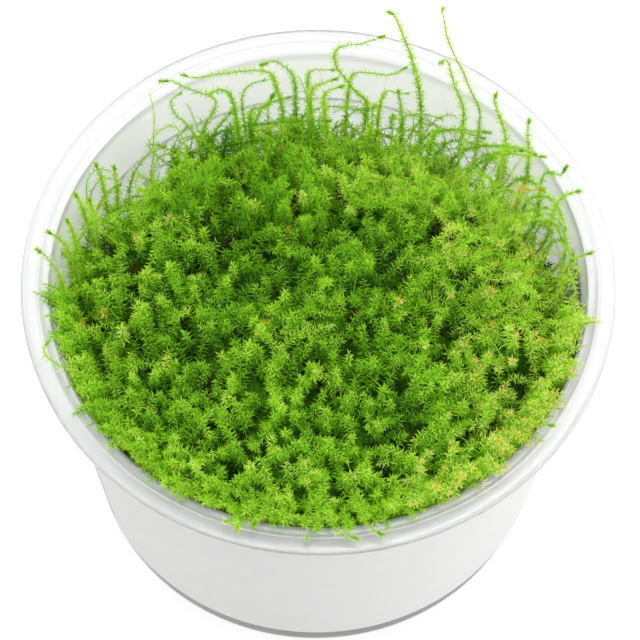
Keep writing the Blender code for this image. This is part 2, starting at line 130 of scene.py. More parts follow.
# Long shoots that stand out of the cushion, as in the solids: the route from tip to root, in mm from the
# cup's axis and, for height, from the rim.
SHOOTS = {
    "shoot_left_hook": (
        (-28, 33.5, 7.3), (-26, 33.3, 7.7), (-23.4, 33, 6), (-20, 32.5, 5), (-18, 32.3, 6.8),
        (-16.4, 32, 6.8), (-15.6, 31.8, 4.5), (-14.9, 31.4, -2), (-14.4, 31, -9),
    ),
    "shoot_left_bar": (
        (-24.5, 37.5, 3.2), (-22.5, 37.5, 2.4), (-17, 37.5, 4), (-11.5, 37.5, 5.2), (-9, 37.5, 4),
        (-8.2, 37.5, 0), (-7.3, 37.5, -5), (-7, 37.5, -12),
    ),
    "shoot_left_loop": (
        (-24.8, 36, -0.3), (-26, 35.3, -0.7), (-26.5, 34.7, -2), (-25.7, 33.7, -4), (-24, 32.8, -5),
        (-21.8, 31, -8), (-21.3, 30, -12),
    ),
    "shoot_left_thread": (
        (-19.5, 34.7, 1), (-18.6, 34.6, -0.6), (-19.1, 34.5, -3.5), (-20.9, 34.3, -9), (-21.7, 34, -14),
    ),
    "shoot_back_loop": (
        (-10.2, 40.5, -2.5), (-12.2, 39.7, -2.3), (-13.6, 39, -3.2), (-14.3, 38.3, -5), (-14.1, 37.3, -8),
        (-13.6, 36, -14),
    ),
    "shoot_back_bend": (
        (-8.6, 34, 3), (-9.4, 34, 0), (-10.6, 34, -1.2), (-12.2, 34, -2), (-12.7, 34, -5), (-12.5, 34, -12),
    ),
    "shoot_back_curl": (
        (-10.8, 40.5, 2.3), (-8.8, 40, 4.4), (-7, 39.6, 3.6), (-5.4, 39, 2), (-4.9, 38.5, -1),
        (-4.8, 38.2, -4.4), (-4.7, 38, -12),
    ),
    "shoot_back_arch": (
        (1.8, 41.3, 0), (0, 41.1, 0.3), (-1.8, 41.1, 0.2), (-2.6, 41.1, -1.2), (-2.7, 41.1, -4),
        (-2.6, 41, -8), (-2.5, 40.7, -16),
    ),
    "shoot_s_curve": (
        (10.2, 40.5, 12.2), (8.2, 40.2, 11.3), (6.3, 40, 10.4), (4.1, 39.7, 10.4), (2.6, 39.5, 10),
        (1.8, 39.2, 7.8), (2.3, 38.6, 5.1), (3.6, 38.1, 2.9), (4.9, 37.6, 0.5), (6.3, 37.3, -1.3),
        (7.6, 37.2, -3.2), (7.7, 37.3, -6.1), (7.6, 37.5, -13),
    ),
    "shoot_tall": (
        (10.7, 41.5, 18), (11.6, 41.3, 17.7), (12.7, 41, 15), (13.9, 40.5, 10.9), (15.1, 40, 7),
        (16.1, 39.4, 2.5), (16.9, 38.9, -2.1), (17.4, 38.5, -6.3), (17.6, 38, -11.1), (17.7, 37.5, -16),
    ),
    "shoot_back_low": (
        (14.4, 41, 1.8), (13, 41, 0.2), (11.3, 41, -0.8), (9.4, 41, -0.4), (6.8, 41, 0), (5.1, 41, -0.8),
        (4.6, 41, -4.4), (4.4, 41, -8.3), (4.2, 40.8, -16),
    ),
    "shoot_back_front_bar": (
        (14.8, 35, 2.8), (12.9, 35, 2.8), (11.4, 35.1, 3.4), (10.6, 35.2, 2), (10, 35.4, -2),
        (9.7, 35.6, -12),
    ),
    "shoot_back_lean": (
        (2.4, 35, 7), (0, 35.3, 5), (-1.6, 35.6, 3), (-2.2, 35.9, -1), (-2, 36, -6), (-1.6, 36, -14),
    ),
    "shoot_back_short": ((3.4, 32.2, 9), (1.4, 32.4, 7.6), (0.2, 32.6, 5.4), (0.4, 32.8, 0), (1, 33, -10)),
    "shoot_right_hook": (
        (20.9, 35.4, -5.8), (18.9, 35.2, -4.4), (16.4, 35, -4), (14.5, 34.7, -4.2), (14, 34.5, -6.3),
        (14.1, 34, -14),
    ),
    "shoot_right_arm": (
        (29, 28.8, 0.6), (25.9, 28.9, 0.8), (23.3, 29.1, 1), (21.1, 29.4, 0), (19.5, 29.8, -2.4),
        (18.7, 30, -12),
    ),
    "shoot_pale_tall": (
        (20, 41, 21.5), (19.7, 40.6, 20.3), (20.2, 40, 18.3), (20.8, 39.2, 15), (21.6, 38.7, 12.3),
        (22.6, 38, 10), (24, 36.9, 7.4), (25.2, 35.8, 4.4), (26.4, 34.8, 2), (27.3, 34, 0),
        (27.5, 33, -2.7), (27.4, 32, -12),
    ),
    "shoot_crook": (
        (19.9, 35.8, 11.4), (20.6, 35.7, 12.6), (21.3, 35.4, 12), (21.8, 34.8, 10), (22.7, 34, 7),
        (23.8, 33.2, 4), (24.5, 32.7, 1.5), (24.6, 32.3, -1), (24.6, 32, -12),
    ),
    "shoot_right_upright": (
        (29.5, 31, 9.6), (29.4, 30.6, 7.6), (30.6, 29.9, 3.8), (31.7, 29.1, 0), (32, 28.5, -3),
        (32.2, 28, -12),
    ),
    "shoot_right_post": (
        (35.1, 26.5, 8.7), (35.1, 25.9, 6), (35.5, 25.1, 2.6), (35.8, 24.4, -0.7), (35.8, 24, -10),
    ),
    "shoot_right_bar": (
        (38.1, 22, 4.2), (36.2, 22.2, 4), (34.4, 22.4, 3.8), (32.6, 22.8, 3.6), (31.2, 23.4, 1.6),
        (30.8, 24, -9),
    ),
    "shoot_right_wave": (
        (41.6, 19.2, 6), (40.9, 18.4, 4.7), (39.8, 18.9, 3.7), (38.6, 20, 2.5), (37.8, 19.6, 1),
        (37.7, 18.6, -1.5), (37.7, 17.6, -10),
    ),
    "shoot_right_yellow": (
        (37.2, 16.2, 4), (36.2, 16.2, 2.8), (35, 17, 1.4), (34.3, 18.4, 0), (34, 18, -2.4),
        (33.9, 17.6, -9),
    ),
    "shoot_right_drape": (
        (36.2, 10.6, 3.4), (38, 11.4, 3.2), (39.8, 11.2, 2.2), (41.2, 10, 1), (41.8, 8.2, -0.8),
        (41.8, 6.6, -3), (41.4, 5.4, -9),
    ),
    "shoot_right_tip": (
        (43.6, 14, 6.6), (42.2, 14.4, 5), (41, 14.8, 3), (40.2, 14.6, 0.6), (39.8, 14.2, -3),
        (39.4, 13.8, -10),
    ),
}

# Dark hollows in the cushion: x and y from the axis and radius, in mm.
HOLLOWS = (
    (-31.6, 3.0, 3.0), (-28.0, -11.8, 3.0), (-21.2, -13.5, 3.0), (-15.3, 9.9, 4.6), (-22.0, -6.2, 2.6),
    (0.5, -27.4, 3.2), (4.6, -33.6, 2.6), (-10.3, -29.3, 3.2), (11.5, -34.5, 2.8), (14.4, -28.8, 3.0),
    (-12.9, -35.1, 2.8), (-6.6, -38.0, 2.2), (5.6, -39.2, 2.2), (-16.6, -23.0, 3.0), (3.5, 13.9, 6.0),
    (20.7, 18.4, 4.0), (13.9, -1.4, 3.0), (-5.0, 16.0, 4.5), (9.0, 8.0, 3.4), (-27.0, -24.0, 2.8),
    (26.0, -20.0, 2.6), (24.0, -8.0, 2.4), (0.0, -14.0, 2.6), (-8.0, -6.0, 2.6), (16.0, 26.0, 3.5),
    (-11.0, 14.0, 5.0), (3.0, 10.0, 5.5), (-20.0, 3.0, 3.5), (-14.0, 22.0, 7.0), (12.0, -18.0, 3.0),
)

# Odd shoots in the cushion: x and y in mm, tone, and size. Pale stars, bleached ones and dead ones.
ODD_SHOOTS = (
    (-38.1, 21.2, 0.97, 1.0), (-37.0, 11.5, 0.97, 0.8), (-30.9, 6.5, 0.96, 0.9), (-28.8, 24.9, 0.97, 0.9),
    (22.1, 11.3, 0.97, 1.1), (39.8, 22.7, 0.965, 1.2), (42.0, 5.0, 0.965, 1.3), (-39.6, -7.6, 0.99, 0.7),
    (-36.0, -6.5, 0.98, 0.8), (-25.4, 11.2, 0.92, 1.2), (-32.7, -10.3, 0.88, 1.3), (-30.0, -5.4, 0.86, 1.4),
    (-24.8, -16.0, 0.93, 1.0), (-22.0, -6.2, 0.10, 1.1), (-31.6, 3.0, 0.08, 1.2), (-15.3, 9.9, 0.10, 1.2),
    (20.0, 13.0, 0.12, 1.1), (3.0, 20.0, 0.10, 1.2),
)

# Strands that lie over the cushion: tone, then x, y and height over the cushion, in mm, root to tip.
STRANDS = (
    (0.86, ((-8.5, -18.5, 1), (-6.5, -15, 4), (-3.0, -11.8, 5), (2.5, -10.2, 5))),
    (0.84, ((-9.6, -8.5, 0), (-9.4, -11, 4), (-7.5, -13.5, 5), (-5.5, -14.5, 4))),
    (0.89, ((6.5, 25.5, 4), (10, 21.5, 7), (14.5, 19.5, 8), (18.5, 15.5, 7), (22.1, 11.3, 5))),
    (0.76, ((4.5, 17.0, 4), (9.5, 13.5, 7), (14, 15.8, 8), (17.5, 17.5, 6))),
    (0.80, ((-24, -27.5, 0), (-22, -25.0, 4), (-19.5, -27.5, 5.5), (-17, -31, 4))),
    (0.80, ((-33, 16, 1), (-29, 18.5, 5), (-25, 21.5, 7), (-22, 25.5, 7))),
    (0.78, ((-30, 12, 0), (-26, 16, 5), (-20, 19.5, 7), (-15, 21, 6))),
    (0.84, ((27, -8, 1), (30, -4.5, 5), (33.5, -2.5, 5.5), (37, -2.5, 4))),
    (0.82, ((20, -24, 1), (23.5, -21.5, 4.5), (27, -21.5, 5), (30, -23.5, 3.5))),
    (0.80, ((-2, -36, 0), (0.5, -33.8, 4), (3, -33.6, 4.5), (5.5, -35.6, 4))),
    (0.82, ((30, 8, 2), (33, 12, 6), (37, 13.5, 7), (40, 12.5, 6))),
    (0.84, ((25, 18, 2), (29, 21, 7), (33.5, 21.5, 8), (37, 19, 7))),
    (0.80, ((-14, -40, 1), (-11, -38.5, 4), (-8, -39.5, 4), (-5, -41.5, 3))),
)

# More long shoots, which arch over the lower moss at the back and the sides: tone, then the route in the
# same way.
ARCHES = (
    (0.66, (
        (1.4, 33, -3.5), (-6.5, 33, -4.2), (-14.4, 33, -6.2), (-19.5, 33, -9.5), (-22.5, 33, -15),
        (-24.5, 33, -20),
    )),
    (0.60, ((-4.5, 31, -6.2), (-10.5, 31, -7.2), (-15.3, 31, -8.7), (-19.4, 31, -11), (-22.4, 31, -17))),
    (0.78, ((28.5, 32, -6.5), (26.3, 34, -8.5), (23.1, 35.5, -9.8), (20.3, 36, -11), (17.5, 36, -15))),
    (0.78, ((36.3, 21, 6.4), (34, 24, 3.3), (30.9, 27, -0.8), (26.9, 30, -6.2), (23.7, 32, -13))),
    (0.74, ((34.2, 23, 4.3), (31.6, 25, 0.6), (29.1, 27, -4.9), (26.2, 28, -11))),
    (0.82, (
        (41.3, 8, 4), (40.6, 12, 2.8), (39.4, 15, 1.7), (37.6, 17, -0.5), (35.8, 18, -3.7), (34.8, 18, -10),
    )),
    (0.84, ((42.6, 3, 1.8), (42, 7, -0.3), (40.9, 9, -1.5), (39.1, 9, -3.7), (38, 8, -9))),
    (0.80, ((38.6, 15, -1.1), (36.3, 17, -5.3), (33.9, 17, -8.2), (32.4, 16, -13))),
    (0.86, ((43, -4, 1.4), (42.8, -1, 1.4), (42.2, 1, 0.5), (41.2, 1, -2.4), (40.3, -1, -6))),
    (0.82, ((41.1, 8, 0.3), (40.2, 11, -0.2), (38.7, 13, -2.4), (37.3, 13, -5.9), (36.3, 10, -9))),
    (0.80, ((38.3, 18, -0.5), (36.6, 21.5, -3.6), (34.5, 24, -6.8), (32.6, 24, -10.6), (31.3, 22, -15))),
    (0.88, ((43.6, -9.5, 4.5), (43, -8, 2.5), (42.2, -8, -1), (41.2, -9, -4))),
    (0.86, ((42.6, -6, -0.6), (41.7, -4, -2.3), (40.2, -4, -4.6), (39, -6, -8))),
    (0.82, ((39.8, 4, -5.2), (38.3, 6, -6.8), (36.4, 6, -9), (34.7, 4, -12))),
    (0.80, (
        (9.4, 37.2, -5.3), (6.7, 37.4, -6.8), (3.1, 37.4, -5.8), (-0.8, 37.4, -6.6), (-3.5, 37.2, -9.2),
        (-4, 37, -15),
    )),
    (0.76, ((13, 35, 3.5), (13.7, 34.6, -1.3), (14.1, 34.2, -7.6), (13.7, 34, -13), (12.9, 34, -20))),
    (0.74, ((27.5, 31, -7.5), (24.8, 32.4, -8), (22.1, 33, -10), (20.6, 33, -14), (19.8, 33, -20))),
    (0.78, ((32.4, 27.5, -3.2), (30.7, 29.4, -7.7), (29.2, 30, -11.9), (28.5, 30, -17))),
    (0.78, ((-5.7, 35.8, -0.5), (-8.1, 35.6, -1.3), (-10.6, 35.4, -4), (-11.9, 35, -8), (-12.5, 35, -15))),
    (0.80, ((-38.6, 8.6, 1.5), (-40.6, 6, 0.5), (-41.4, 3.5, -3), (-41, 2, -9))),
    (0.78, ((-34.4, 18, -1.5), (-37, 16, -2), (-38.6, 13.5, -5), (-39, 12, -12))),
    (0.80, ((-27.5, 28.5, -6), (-30.5, 26.5, -6), (-33, 24, -9), (-34, 22, -16))),
    (0.82, ((9, 30, -10), (6, 31.5, -8.5), (2, 32, -8), (-1.5, 31.5, -11), (-3, 31, -17))),
    (0.84, ((21.5, 28.5, -9), (17.5, 30.5, -8), (13, 31, -8), (9.5, 30.5, -11), (8, 30, -17))),
)

# Shorter shoots, most of them leaning over the brim, in the same way.
BRIM_SHOOTS = (
    ((-38.2, 18, 5), (-37.5, 17.8, 0), (-36.8, 17, -12)),
    ((-35.2, 18.1, 4), (-35, 17.7, -3), (-35.3, 17, -12)),
    ((-41.3, 12, 5), (-40.4, 12.2, 0), (-39.6, 12, -10)),
    ((-38.6, 9.4, 8), (-38.2, 9.6, 2), (-37.8, 9.6, -8)),
    ((-42.4, 7, 5), (-41.6, 7, 0), (-41, 7, -10)),
    ((-45.4, 4.6, 5), (-43.9, 4.6, 3.2), (-42.6, 4.2, 0), (-41.8, 3.4, -9)),
    ((-47, 1, 5.4), (-45.4, 0.4, 3.8), (-43.4, -1.4, 1), (-42, -3.4, -7)),
    (
        (-44, -15, 3.4), (-44.8, -16.2, 3.2), (-44.2, -17.7, 2.9), (-42, -19, 2.4), (-39, -20, 0),
        (-37, -20, -6),
    ),
    ((-16, 36, -6), (-18, 35.6, -9.4), (-19.4, 35, -13), (-20, 34, -20)),
    ((45.6, 3.6, 4), (43.8, 3.6, 2.6), (42.2, 3.2, 0.8), (41, 2, -9)),
    ((38.6, -28.4, 3.6), (36.4, -27.6, 2.6), (33.6, -26.4, 0), (31.6, -25.4, -6)),
    ((7.1, -48.4, 2.4), (4.8, -47.7, 2.4), (3.2, -46.2, 2.3), (2.4, -43.6, 1.2), (2, -40.6, -5)),
    ((11.2, -47.6, 2.2), (9.4, -46.6, 2.2), (8.2, -44.8, 2), (7.4, -42.4, 0.6), (6.8, -40, -5)),
    ((-9.6, -46.6, 2.2), (-8.4, -45, 2), (-7.4, -42.6, 0.8), (-6.6, -40, -5)),
    ((-22.4, -41, 2.2), (-20.8, -39.8, 2), (-18.8, -37.6, 0.6), (-17, -35.6, -5)),
    ((20.4, -41.6, 2.2), (18.8, -40.2, 2), (17.2, -38, 0.6), (15.6, -35.8, -5)),
    ((-33, -33, 2.2), (-31.2, -31.6, 2), (-29.2, -29.8, 0.4), (-27.2, -28.2, -6)),
)

# The camera, fitted to the rim's ellipse: it looks at a place on the rim's plane, from a distance over the
# middle of the rim.
VIEW_DISTANCE = 436.9 * MM
VIEW_ELEVATION = math.radians(61.46)
VIEW_ROLL = math.radians(1.44)
VIEW_AIM = (0.4 * MM, -8.2 * MM)
VIEW_LENS, VIEW_SENSOR = 146.25, 36.0
VIEW_NEAREST = 0.01

# Leaves.
GOLDEN_ANGLE = math.radians(137.508)
LEAF_LENGTH = 1.25 * MM
LEAF_SPACING = 0.13 * MM
STEM_RADIUS = 0.11 * MM
# The yellowest tone of healthy growth.
YOUNG_TONE = 0.88

# How fast the body of the cup widens with its height.
WALL_TAPER = (LEDGE_RADIUS + WALL - FOOT_WALL_RADIUS) / (RIM_HEIGHT - LEDGE_DROP)


def smooth(value):
    """The value kept between 0 and 1, and eased at both ends."""
    value = min(max(value, 0.0), 1.0)
    return value * value * (3.0 - 2.0 * value)


def rising(value, start, run):
    """From 0 at the start to 1 at the end of the run."""
    return smooth((value - start) / run)


def polar(r, turn):
    return r * math.cos(turn), r * math.sin(turn)


def outer_radius(height):
    """The cup wall's outer radius at a height: a near-upright collar over a tapered body."""
    ledge = RIM_HEIGHT - LEDGE_DROP
    if height > ledge:
        share = (height - ledge) / LEDGE_DROP
        return WALL + LEDGE_RADIUS + (MOUTH_RADIUS - LEDGE_RADIUS) * share
    return FOOT_WALL_RADIUS + (WALL + LEDGE_RADIUS - FOOT_WALL_RADIUS) * height / ledge


def inner_radius(height):
    return outer_radius(height) - WALL


def wave(x, y, size, slice_height=0.0):
    """Smooth noise from -1 to 1 over a plan, with bumps of about the given size."""
    return noise.noise(Vector((x, y, slice_height)) / size)


def moss_height(x, y):
    """Height of the cushion's top at a place, as in the solids."""
    front = rising(-y, FRONT_START, FRONT_RUN)
    sunk = rising(y, BACK_START, BACK_RUN)
    side = rising(math.hypot(x, y), SIDE_START, SIDE_RUN) * (1.0 - front)
    mound = MOUND_HEIGHT * wave(x, y, MOUND_SIZE)
    bump = BUMP_HEIGHT * wave(x, y, BUMP_SIZE, BUMP_SLICE)
    return MOSS_TOP + FRONT_RISE * front - BACK_SINK * sunk - SIDE_DROP * side + mound + bump


# Node helpers.


def add(tree, kind, values=None, **settings):
    """A node with its settings, and its inputs set to values or linked to sockets."""
    made = tree.nodes.new(kind)
    for name, value in settings.items():
        setattr(made, name, value)
    for key, value in (values or {}).items():
        if isinstance(value, bpy.types.NodeSocket):
            tree.links.new(value, made.inputs[key])
        else:
            made.inputs[key].default_value = value
    return made


def new_material(name):
    made = bpy.data.materials.new(name)
    made.use_nodes = True
    made.node_tree.nodes.clear()
    return made, made.node_tree


def ramp(tree, factor, stops):
    """A colour ramp with the given (position, colour) stops."""
    made = add(tree, "ShaderNodeValToRGB", {"Fac": factor})
    elements = made.color_ramp.elements
    while len(elements) < len(stops):
        elements.new(0.5)
    for element, (position, colour) in zip(elements, stops):
        element.position = position
        element.color = (*colour, 1.0)
    return made.outputs["Color"]


def grain(tree, scale, detail=3.0, roughness=0.5, stretch=(1.0, 1.0, 1.0)):
    """Noise over the object's own coordinates."""
    values = {"Vector": own_place(tree), "Scale": stretch}
    mapped = add(tree, "ShaderNodeMapping", values).outputs["Vector"]
    values = {"Vector": mapped, "Scale": scale, "Detail": detail, "Roughness": roughness}
    return add(tree, "ShaderNodeTexNoise", values).outputs["Fac"]


def between(tree, factor, low, high, start=0.0, end=1.0):
    """The factor, mapped from start..end to low..high."""
    values = {"Value": factor, "From Min": start, "From Max": end, "To Min": low, "To Max": high}
    return add(tree, "ShaderNodeMapRange", values).outputs["Result"]


def bump(tree, height, strength, distance):
    values = {"Height": height, "Strength": strength, "Distance": distance}
    return add(tree, "ShaderNodeBump", values).outputs["Normal"]


def maths(tree, operation, *values):
    return add(tree, "ShaderNodeMath", dict(enumerate(values)), operation=operation).outputs[0]


def mixed(tree, factor, first, second, blend="MIX"):
    """Two colours, mixed or multiplied by the factor."""
    values = {"Factor": factor, 6: first, 7: second}
    return add(tree, "ShaderNodeMix", values, data_type="RGBA", blend_type=blend).outputs[2]


def own_place(tree):
    """The object's own coordinates."""
    return add(tree, "ShaderNodeTexCoord").outputs["Object"]


def height_of(tree, place):
    return add(tree, "ShaderNodeSeparateXYZ", {"Vector": place}).outputs["Z"]


def principled(tree, values):
    return add(tree, "ShaderNodeBsdfPrincipled", values).outputs["BSDF"]


def output(tree, shader):
    add(tree, "ShaderNodeOutputMaterial", {"Surface": shader})


# Materials.

# The plastic's colour at shares of its height, with painted shade: the foot grey, for the shaded thick foot
# and the gel seen through it, then the wall, and the flange darker, so the lights on its top don't wash it
# out.
PLASTIC_PAINTED_SHADE_ZONES = [
    (0.0, (0.36, 0.365, 0.345)),
    (0.095, (0.36, 0.365, 0.345)),
    (0.12, (1.0, 1.0, 1.0)),
    (0.955, (1.0, 1.0, 1.0)),
    (0.97, (0.80, 0.80, 0.81)),
]


def plastic_material():
    """Milky polypropylene, a little cloudy, with painted shade: grey at the thick foot and darker in the
    flange than in the wall.
    """
    made, tree = new_material("milky_plastic")
    cloud = ramp(tree, grain(tree, 90.0), [(0.3, (0.975, 0.985, 0.97)), (0.7, (0.99, 0.995, 0.985))])
    height = height_of(tree, own_place(tree))
    # Painted shade by height: a grey foot and a darker flange.
    painted_shade_zones = ramp(tree, between(tree, height, 0.0, 1.0, 0.0, RIM_HEIGHT), PLASTIC_PAINTED_SHADE_ZONES)
    values = {
        "Base Color": mixed(tree, 1.0, cloud, painted_shade_zones, "MULTIPLY"),
        "Roughness": between(tree, grain(tree, 120.0, detail=1.0), 0.30, 0.36, 0.3, 0.7),
        "IOR": 1.49,
        "Transmission Weight": 0.86,
    }
    output(tree, principled(tree, values))
    return made


def paper_material():
    """Smooth coated label paper with fine fibres."""
    made, tree = new_material("label_paper")
    fibre = grain(tree, 1500.0, detail=5.0, roughness=0.7, stretch=(1.0, 1.0, 2.5))
    values = {
        "Base Color": ramp(tree, fibre, [(0.3, (0.61, 0.61, 0.605)), (0.7, (0.65, 0.65, 0.645))]),
        "Roughness": between(tree, grain(tree, 300.0), 0.42, 0.56, 0.3, 0.7),
        "Normal": bump(tree, fibre, 0.08, 0.05 * MM),
        "Specular IOR Level": 0.4,
    }
    output(tree, principled(tree, values))
    return made


def gel_material():
    """Clear set gel, faintly straw-coloured, with a wet surface."""
    made, tree = new_material("culture_gel")
    haze = grain(tree, 140.0)
    values = {
        "Base Color": ramp(tree, haze, [(0.3, (0.72, 0.73, 0.58)), (0.7, (0.80, 0.81, 0.68))]),
        "Roughness": between(tree, haze, 0.04, 0.12, 0.3, 0.7),
        "IOR": 1.34,
        "Transmission Weight": 0.9,
        "Normal": bump(tree, grain(tree, 60.0), 0.2, 0.4 * MM),
    }
    output(tree, principled(tree, values))
    return made


# The moss's colours by tone: dead and brown, dark to bright green, yellow-green, pale, yellow and orange.
MOSS_PALETTE = [
    (0.00, (0.080, 0.036, 0.008)),
    (0.12, (0.060, 0.050, 0.005)),
    (0.24, (0.022, 0.085, 0.002)),
    (0.40, (0.075, 0.240, 0.004)),
    (0.56, (0.180, 0.480, 0.008)),
    (0.70, (0.330, 0.700, 0.020)),
    (0.82, (0.520, 0.840, 0.050)),
    (0.90, (0.660, 0.880, 0.130)),
    (0.93, (0.780, 0.860, 0.320)),
    (0.96, (0.900, 0.760, 0.060)),
    (1.00, (0.820, 0.480, 0.030)),
]
# A leaf's painted light from its foot to its tip: painted shade at the foot and a painted highlight, brighter
# than its colour, towards the tip. Then how far flecks shift its tone, and how much light comes through.
LEAF_PAINTED_LIGHT = [(0.0, (0.50, 0.58, 0.4)), (0.4, (0.95, 0.95, 0.9)), (1.0, (1.35, 1.15, 1.5))]
TONE_FLECK, LIT_THROUGH = 0.03, 0.55


def moss_material():
    """Thin leaves, lit through as well as on: the tone picks the colour, and a painted highlight pales leaves
    to their tips over painted shade at their foot.
    """
    made, tree = new_material("moss_leaf")
    place = add(tree, "ShaderNodeUVMap", uv_map="OFBake").outputs["UV"]
    split = add(tree, "ShaderNodeSeparateXYZ", {"Vector": place})
    tone, along = split.outputs["X"], split.outputs["Y"]
    fleck = add(tree, "ShaderNodeTexNoise", {"Vector": place, "Scale": 60.0, "Detail": 2.0}).outputs["Fac"]
    uneven = maths(tree, "SUBTRACT", fleck, 0.5)
    base = ramp(tree, maths(tree, "MULTIPLY_ADD", uneven, TONE_FLECK, tone), MOSS_PALETTE)
    # Painted light along the leaf: shade at its foot, a highlight at its tip.
    colour = mixed(tree, 1.0, base, ramp(tree, along, LEAF_PAINTED_LIGHT), "MULTIPLY")
    values = {
        "Base Color": colour,
        "Roughness": between(tree, along, 0.55, 0.38),
        "Specular IOR Level": 0.35,
    }
    through = add(tree, "ShaderNodeBsdfTranslucent", {"Color": colour}).outputs["BSDF"]
    values = {"Fac": LIT_THROUGH, 1: principled(tree, values), 2: through}
    output(tree, add(tree, "ShaderNodeMixShader", values).outputs["Shader"])
    return made


# The old growth's colours. Deep in the cushion: browns and dark greens, darkened further as painted shade.
# Where it lies against the wall: lighter greens, as painted light for the light coming through the wall.
DEEP_PAINTED_SHADE_COLOURS = [
    (0.30, (0.010, 0.022, 0.001)),
    (0.50, (0.022, 0.075, 0.002)),
    (0.62, (0.045, 0.140, 0.003)),
    (0.75, (0.060, 0.055, 0.008)),
]
WALL_PAINTED_LIGHT_COLOURS = [
    (0.36, (0.030, 0.100, 0.003)),
    (0.48, (0.120, 0.330, 0.010)),
    (0.60, (0.300, 0.620, 0.030)),
    (0.72, (0.110, 0.240, 0.012)),
]
# How far inside the wall's outer face the painted light of the wall's colours begins and is full.
WALL_LIGHT_FROM, WALL_LIGHT_TO = 3.2 * MM, 2.4 * MM


def bed_material():
    """Old growth: brown and dark green inside the cushion with painted shade, and painted lighter against the
    wall.
    """
    made, tree = new_material("moss_bed_painted_light")
    deep = ramp(tree, grain(tree, 380.0, detail=6.0, roughness=0.7), DEEP_PAINTED_SHADE_COLOURS)
    streaks = grain(tree, 260.0, detail=5.0, roughness=0.6, stretch=(1.0, 1.0, 0.45))
    at_wall = ramp(tree, streaks, WALL_PAINTED_LIGHT_COLOURS)
    place = own_place(tree)
    flat = add(tree, "ShaderNodeVectorMath", {0: place, 1: (1.0, 1.0, 0.0)}, operation="MULTIPLY").outputs[0]
    reach = add(tree, "ShaderNodeVectorMath", {0: flat}, operation="LENGTH").outputs["Value"]
    wall = maths(tree, "MULTIPLY_ADD", height_of(tree, place), -WALL_TAPER, reach)
    start, end = FOOT_WALL_RADIUS - WALL_LIGHT_FROM, FOOT_WALL_RADIUS - WALL_LIGHT_TO
    # Painted light where the growth lies against the wall, painted shade deeper in.
    lit_at_wall = between(tree, wall, 0.0, 1.0, start, end)
    values = {
        "Base Color": mixed(tree, lit_at_wall, deep, at_wall),
        "Roughness": 0.9,
        "Specular IOR Level": 0.1,
        "Normal": bump(tree, grain(tree, 1400.0, detail=4.0), 0.9, 0.6 * MM),
    }
    output(tree, principled(tree, values))
    return made


# Turned pieces, with an edge where two faces meet at more than these angles.
SHARP_TURN, SHARP_LABEL = math.radians(35), math.radians(40)


def arc(centre, radius, start, end, count):
    """Points (r, z) on an arc, angles in degrees from +r towards +z."""
    angles = (math.radians(start + (end - start) * i / (count - 1)) for i in range(count))
    return [(centre[0] + radius * math.cos(a), centre[1] + radius * math.sin(a)) for a in angles]


def linked(name, data):
    """An object in the scene, made of a mesh, a light or a camera."""
    made = bpy.data.objects.new(name, data)
    bpy.context.scene.collection.objects.link(made)
    return made


def mesh_object(name, points, faces, finish):
    mesh = bpy.data.meshes.new(name)
    mesh.from_pydata([tuple(p) for p in points], [], faces)
    mesh.materials.append(finish)
    mesh.shade_smooth()
    return linked(name, mesh)


def turned(name, profile, finish, steps=TURN_STEPS):
    """A solid turned from a profile that starts and ends on the axis, with its inside on the left."""
    points, rings, faces = [], [], []
    for r, z in profile:
        count = steps if r else 1
        rings.append(range(len(points), len(points) + count))
        points += [(*polar(r, math.tau * j / steps), z) for j in range(count)]
    for near, far in zip(rings, rings[1:]):
        for j in range(steps):
            k = (j + 1) % steps
            if len(near) == 1:
                faces.append((near[0], far[j], far[k]))
            elif len(far) == 1:
                faces.append((near[j], far[0], near[k]))
            else:
                faces.append((near[j], far[j], far[k], near[k]))
    made = mesh_object(name, points, faces, finish)
    made.data.set_sharp_from_angle(angle=SHARP_TURN)
    return made


def cup_profile():
    """From the middle of the floor up the inside, over the flange, and down the outside to the foot."""
    top = RIM_HEIGHT
    ledge = top - LEDGE_DROP
    floor = [(0.0, FLOOR_RISE + FLOOR), (RING_IN - FLOOR, FLOOR_RISE + FLOOR), (RING_IN + RING_SLOPE, FLOOR)]
    corner = arc((RING_OUT - CORNER / 2, FLOOR + CORNER), CORNER, -90, -8, 6)
    wall = [(inner_radius(FOOT_FILLET) - CORNER_INSET, CORNER_TOP)]
    wall += [(inner_radius(ledge) - across * MM, ledge - down * MM) for across, down in LEDGE_ROUNDING]
    wall += [(inner_radius(ledge), ledge), (inner_radius(top - SHOULDER), top - SHOULDER - SHOULDER_FOOT)]
    rounding = arc((MOUTH_RADIUS + SHOULDER, top - SHOULDER - SHOULDER_CENTRE), SHOULDER, 172, 100, 8)
    groove = [(RIM_RADIUS - across * MM, top - down * MM) for across, down in GROOVE]
    edge = arc((RIM_RADIUS - LIP_ROUNDING, top - LIP_ROUNDING), LIP_ROUNDING, 90, 0, 7)
    under = [(RIM_RADIUS - across * MM, top - down * MM) for across, down in UNDER_EDGE]
    under += [
        (MOUTH_RADIUS + SHOULDER, top - UNDER_SHOULDER),
        (outer_radius(COLLAR_TOP) + COLLAR_FLARE, COLLAR_FLARE_TOP),
        (outer_radius(COLLAR_TOP), COLLAR_TOP),
        (outer_radius(ledge), ledge),
        (outer_radius(FOOT_FILLET), FOOT_FILLET),
    ]
    fillet = arc((RING_OUT, FOOT_FILLET), FOOT_FILLET, -15, -90, 7)
    foot = [(RING_IN, 0.0), (RING_IN - FLOOR, FLOOR_RISE), (0.0, FLOOR_RISE)]
    return floor + corner + wall + rounding + groove + edge + under + fillet + foot


def make_cup(finish):
    cup = turned("milky_cup", cup_profile(), finish)
    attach(cup, "root")
    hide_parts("cup")


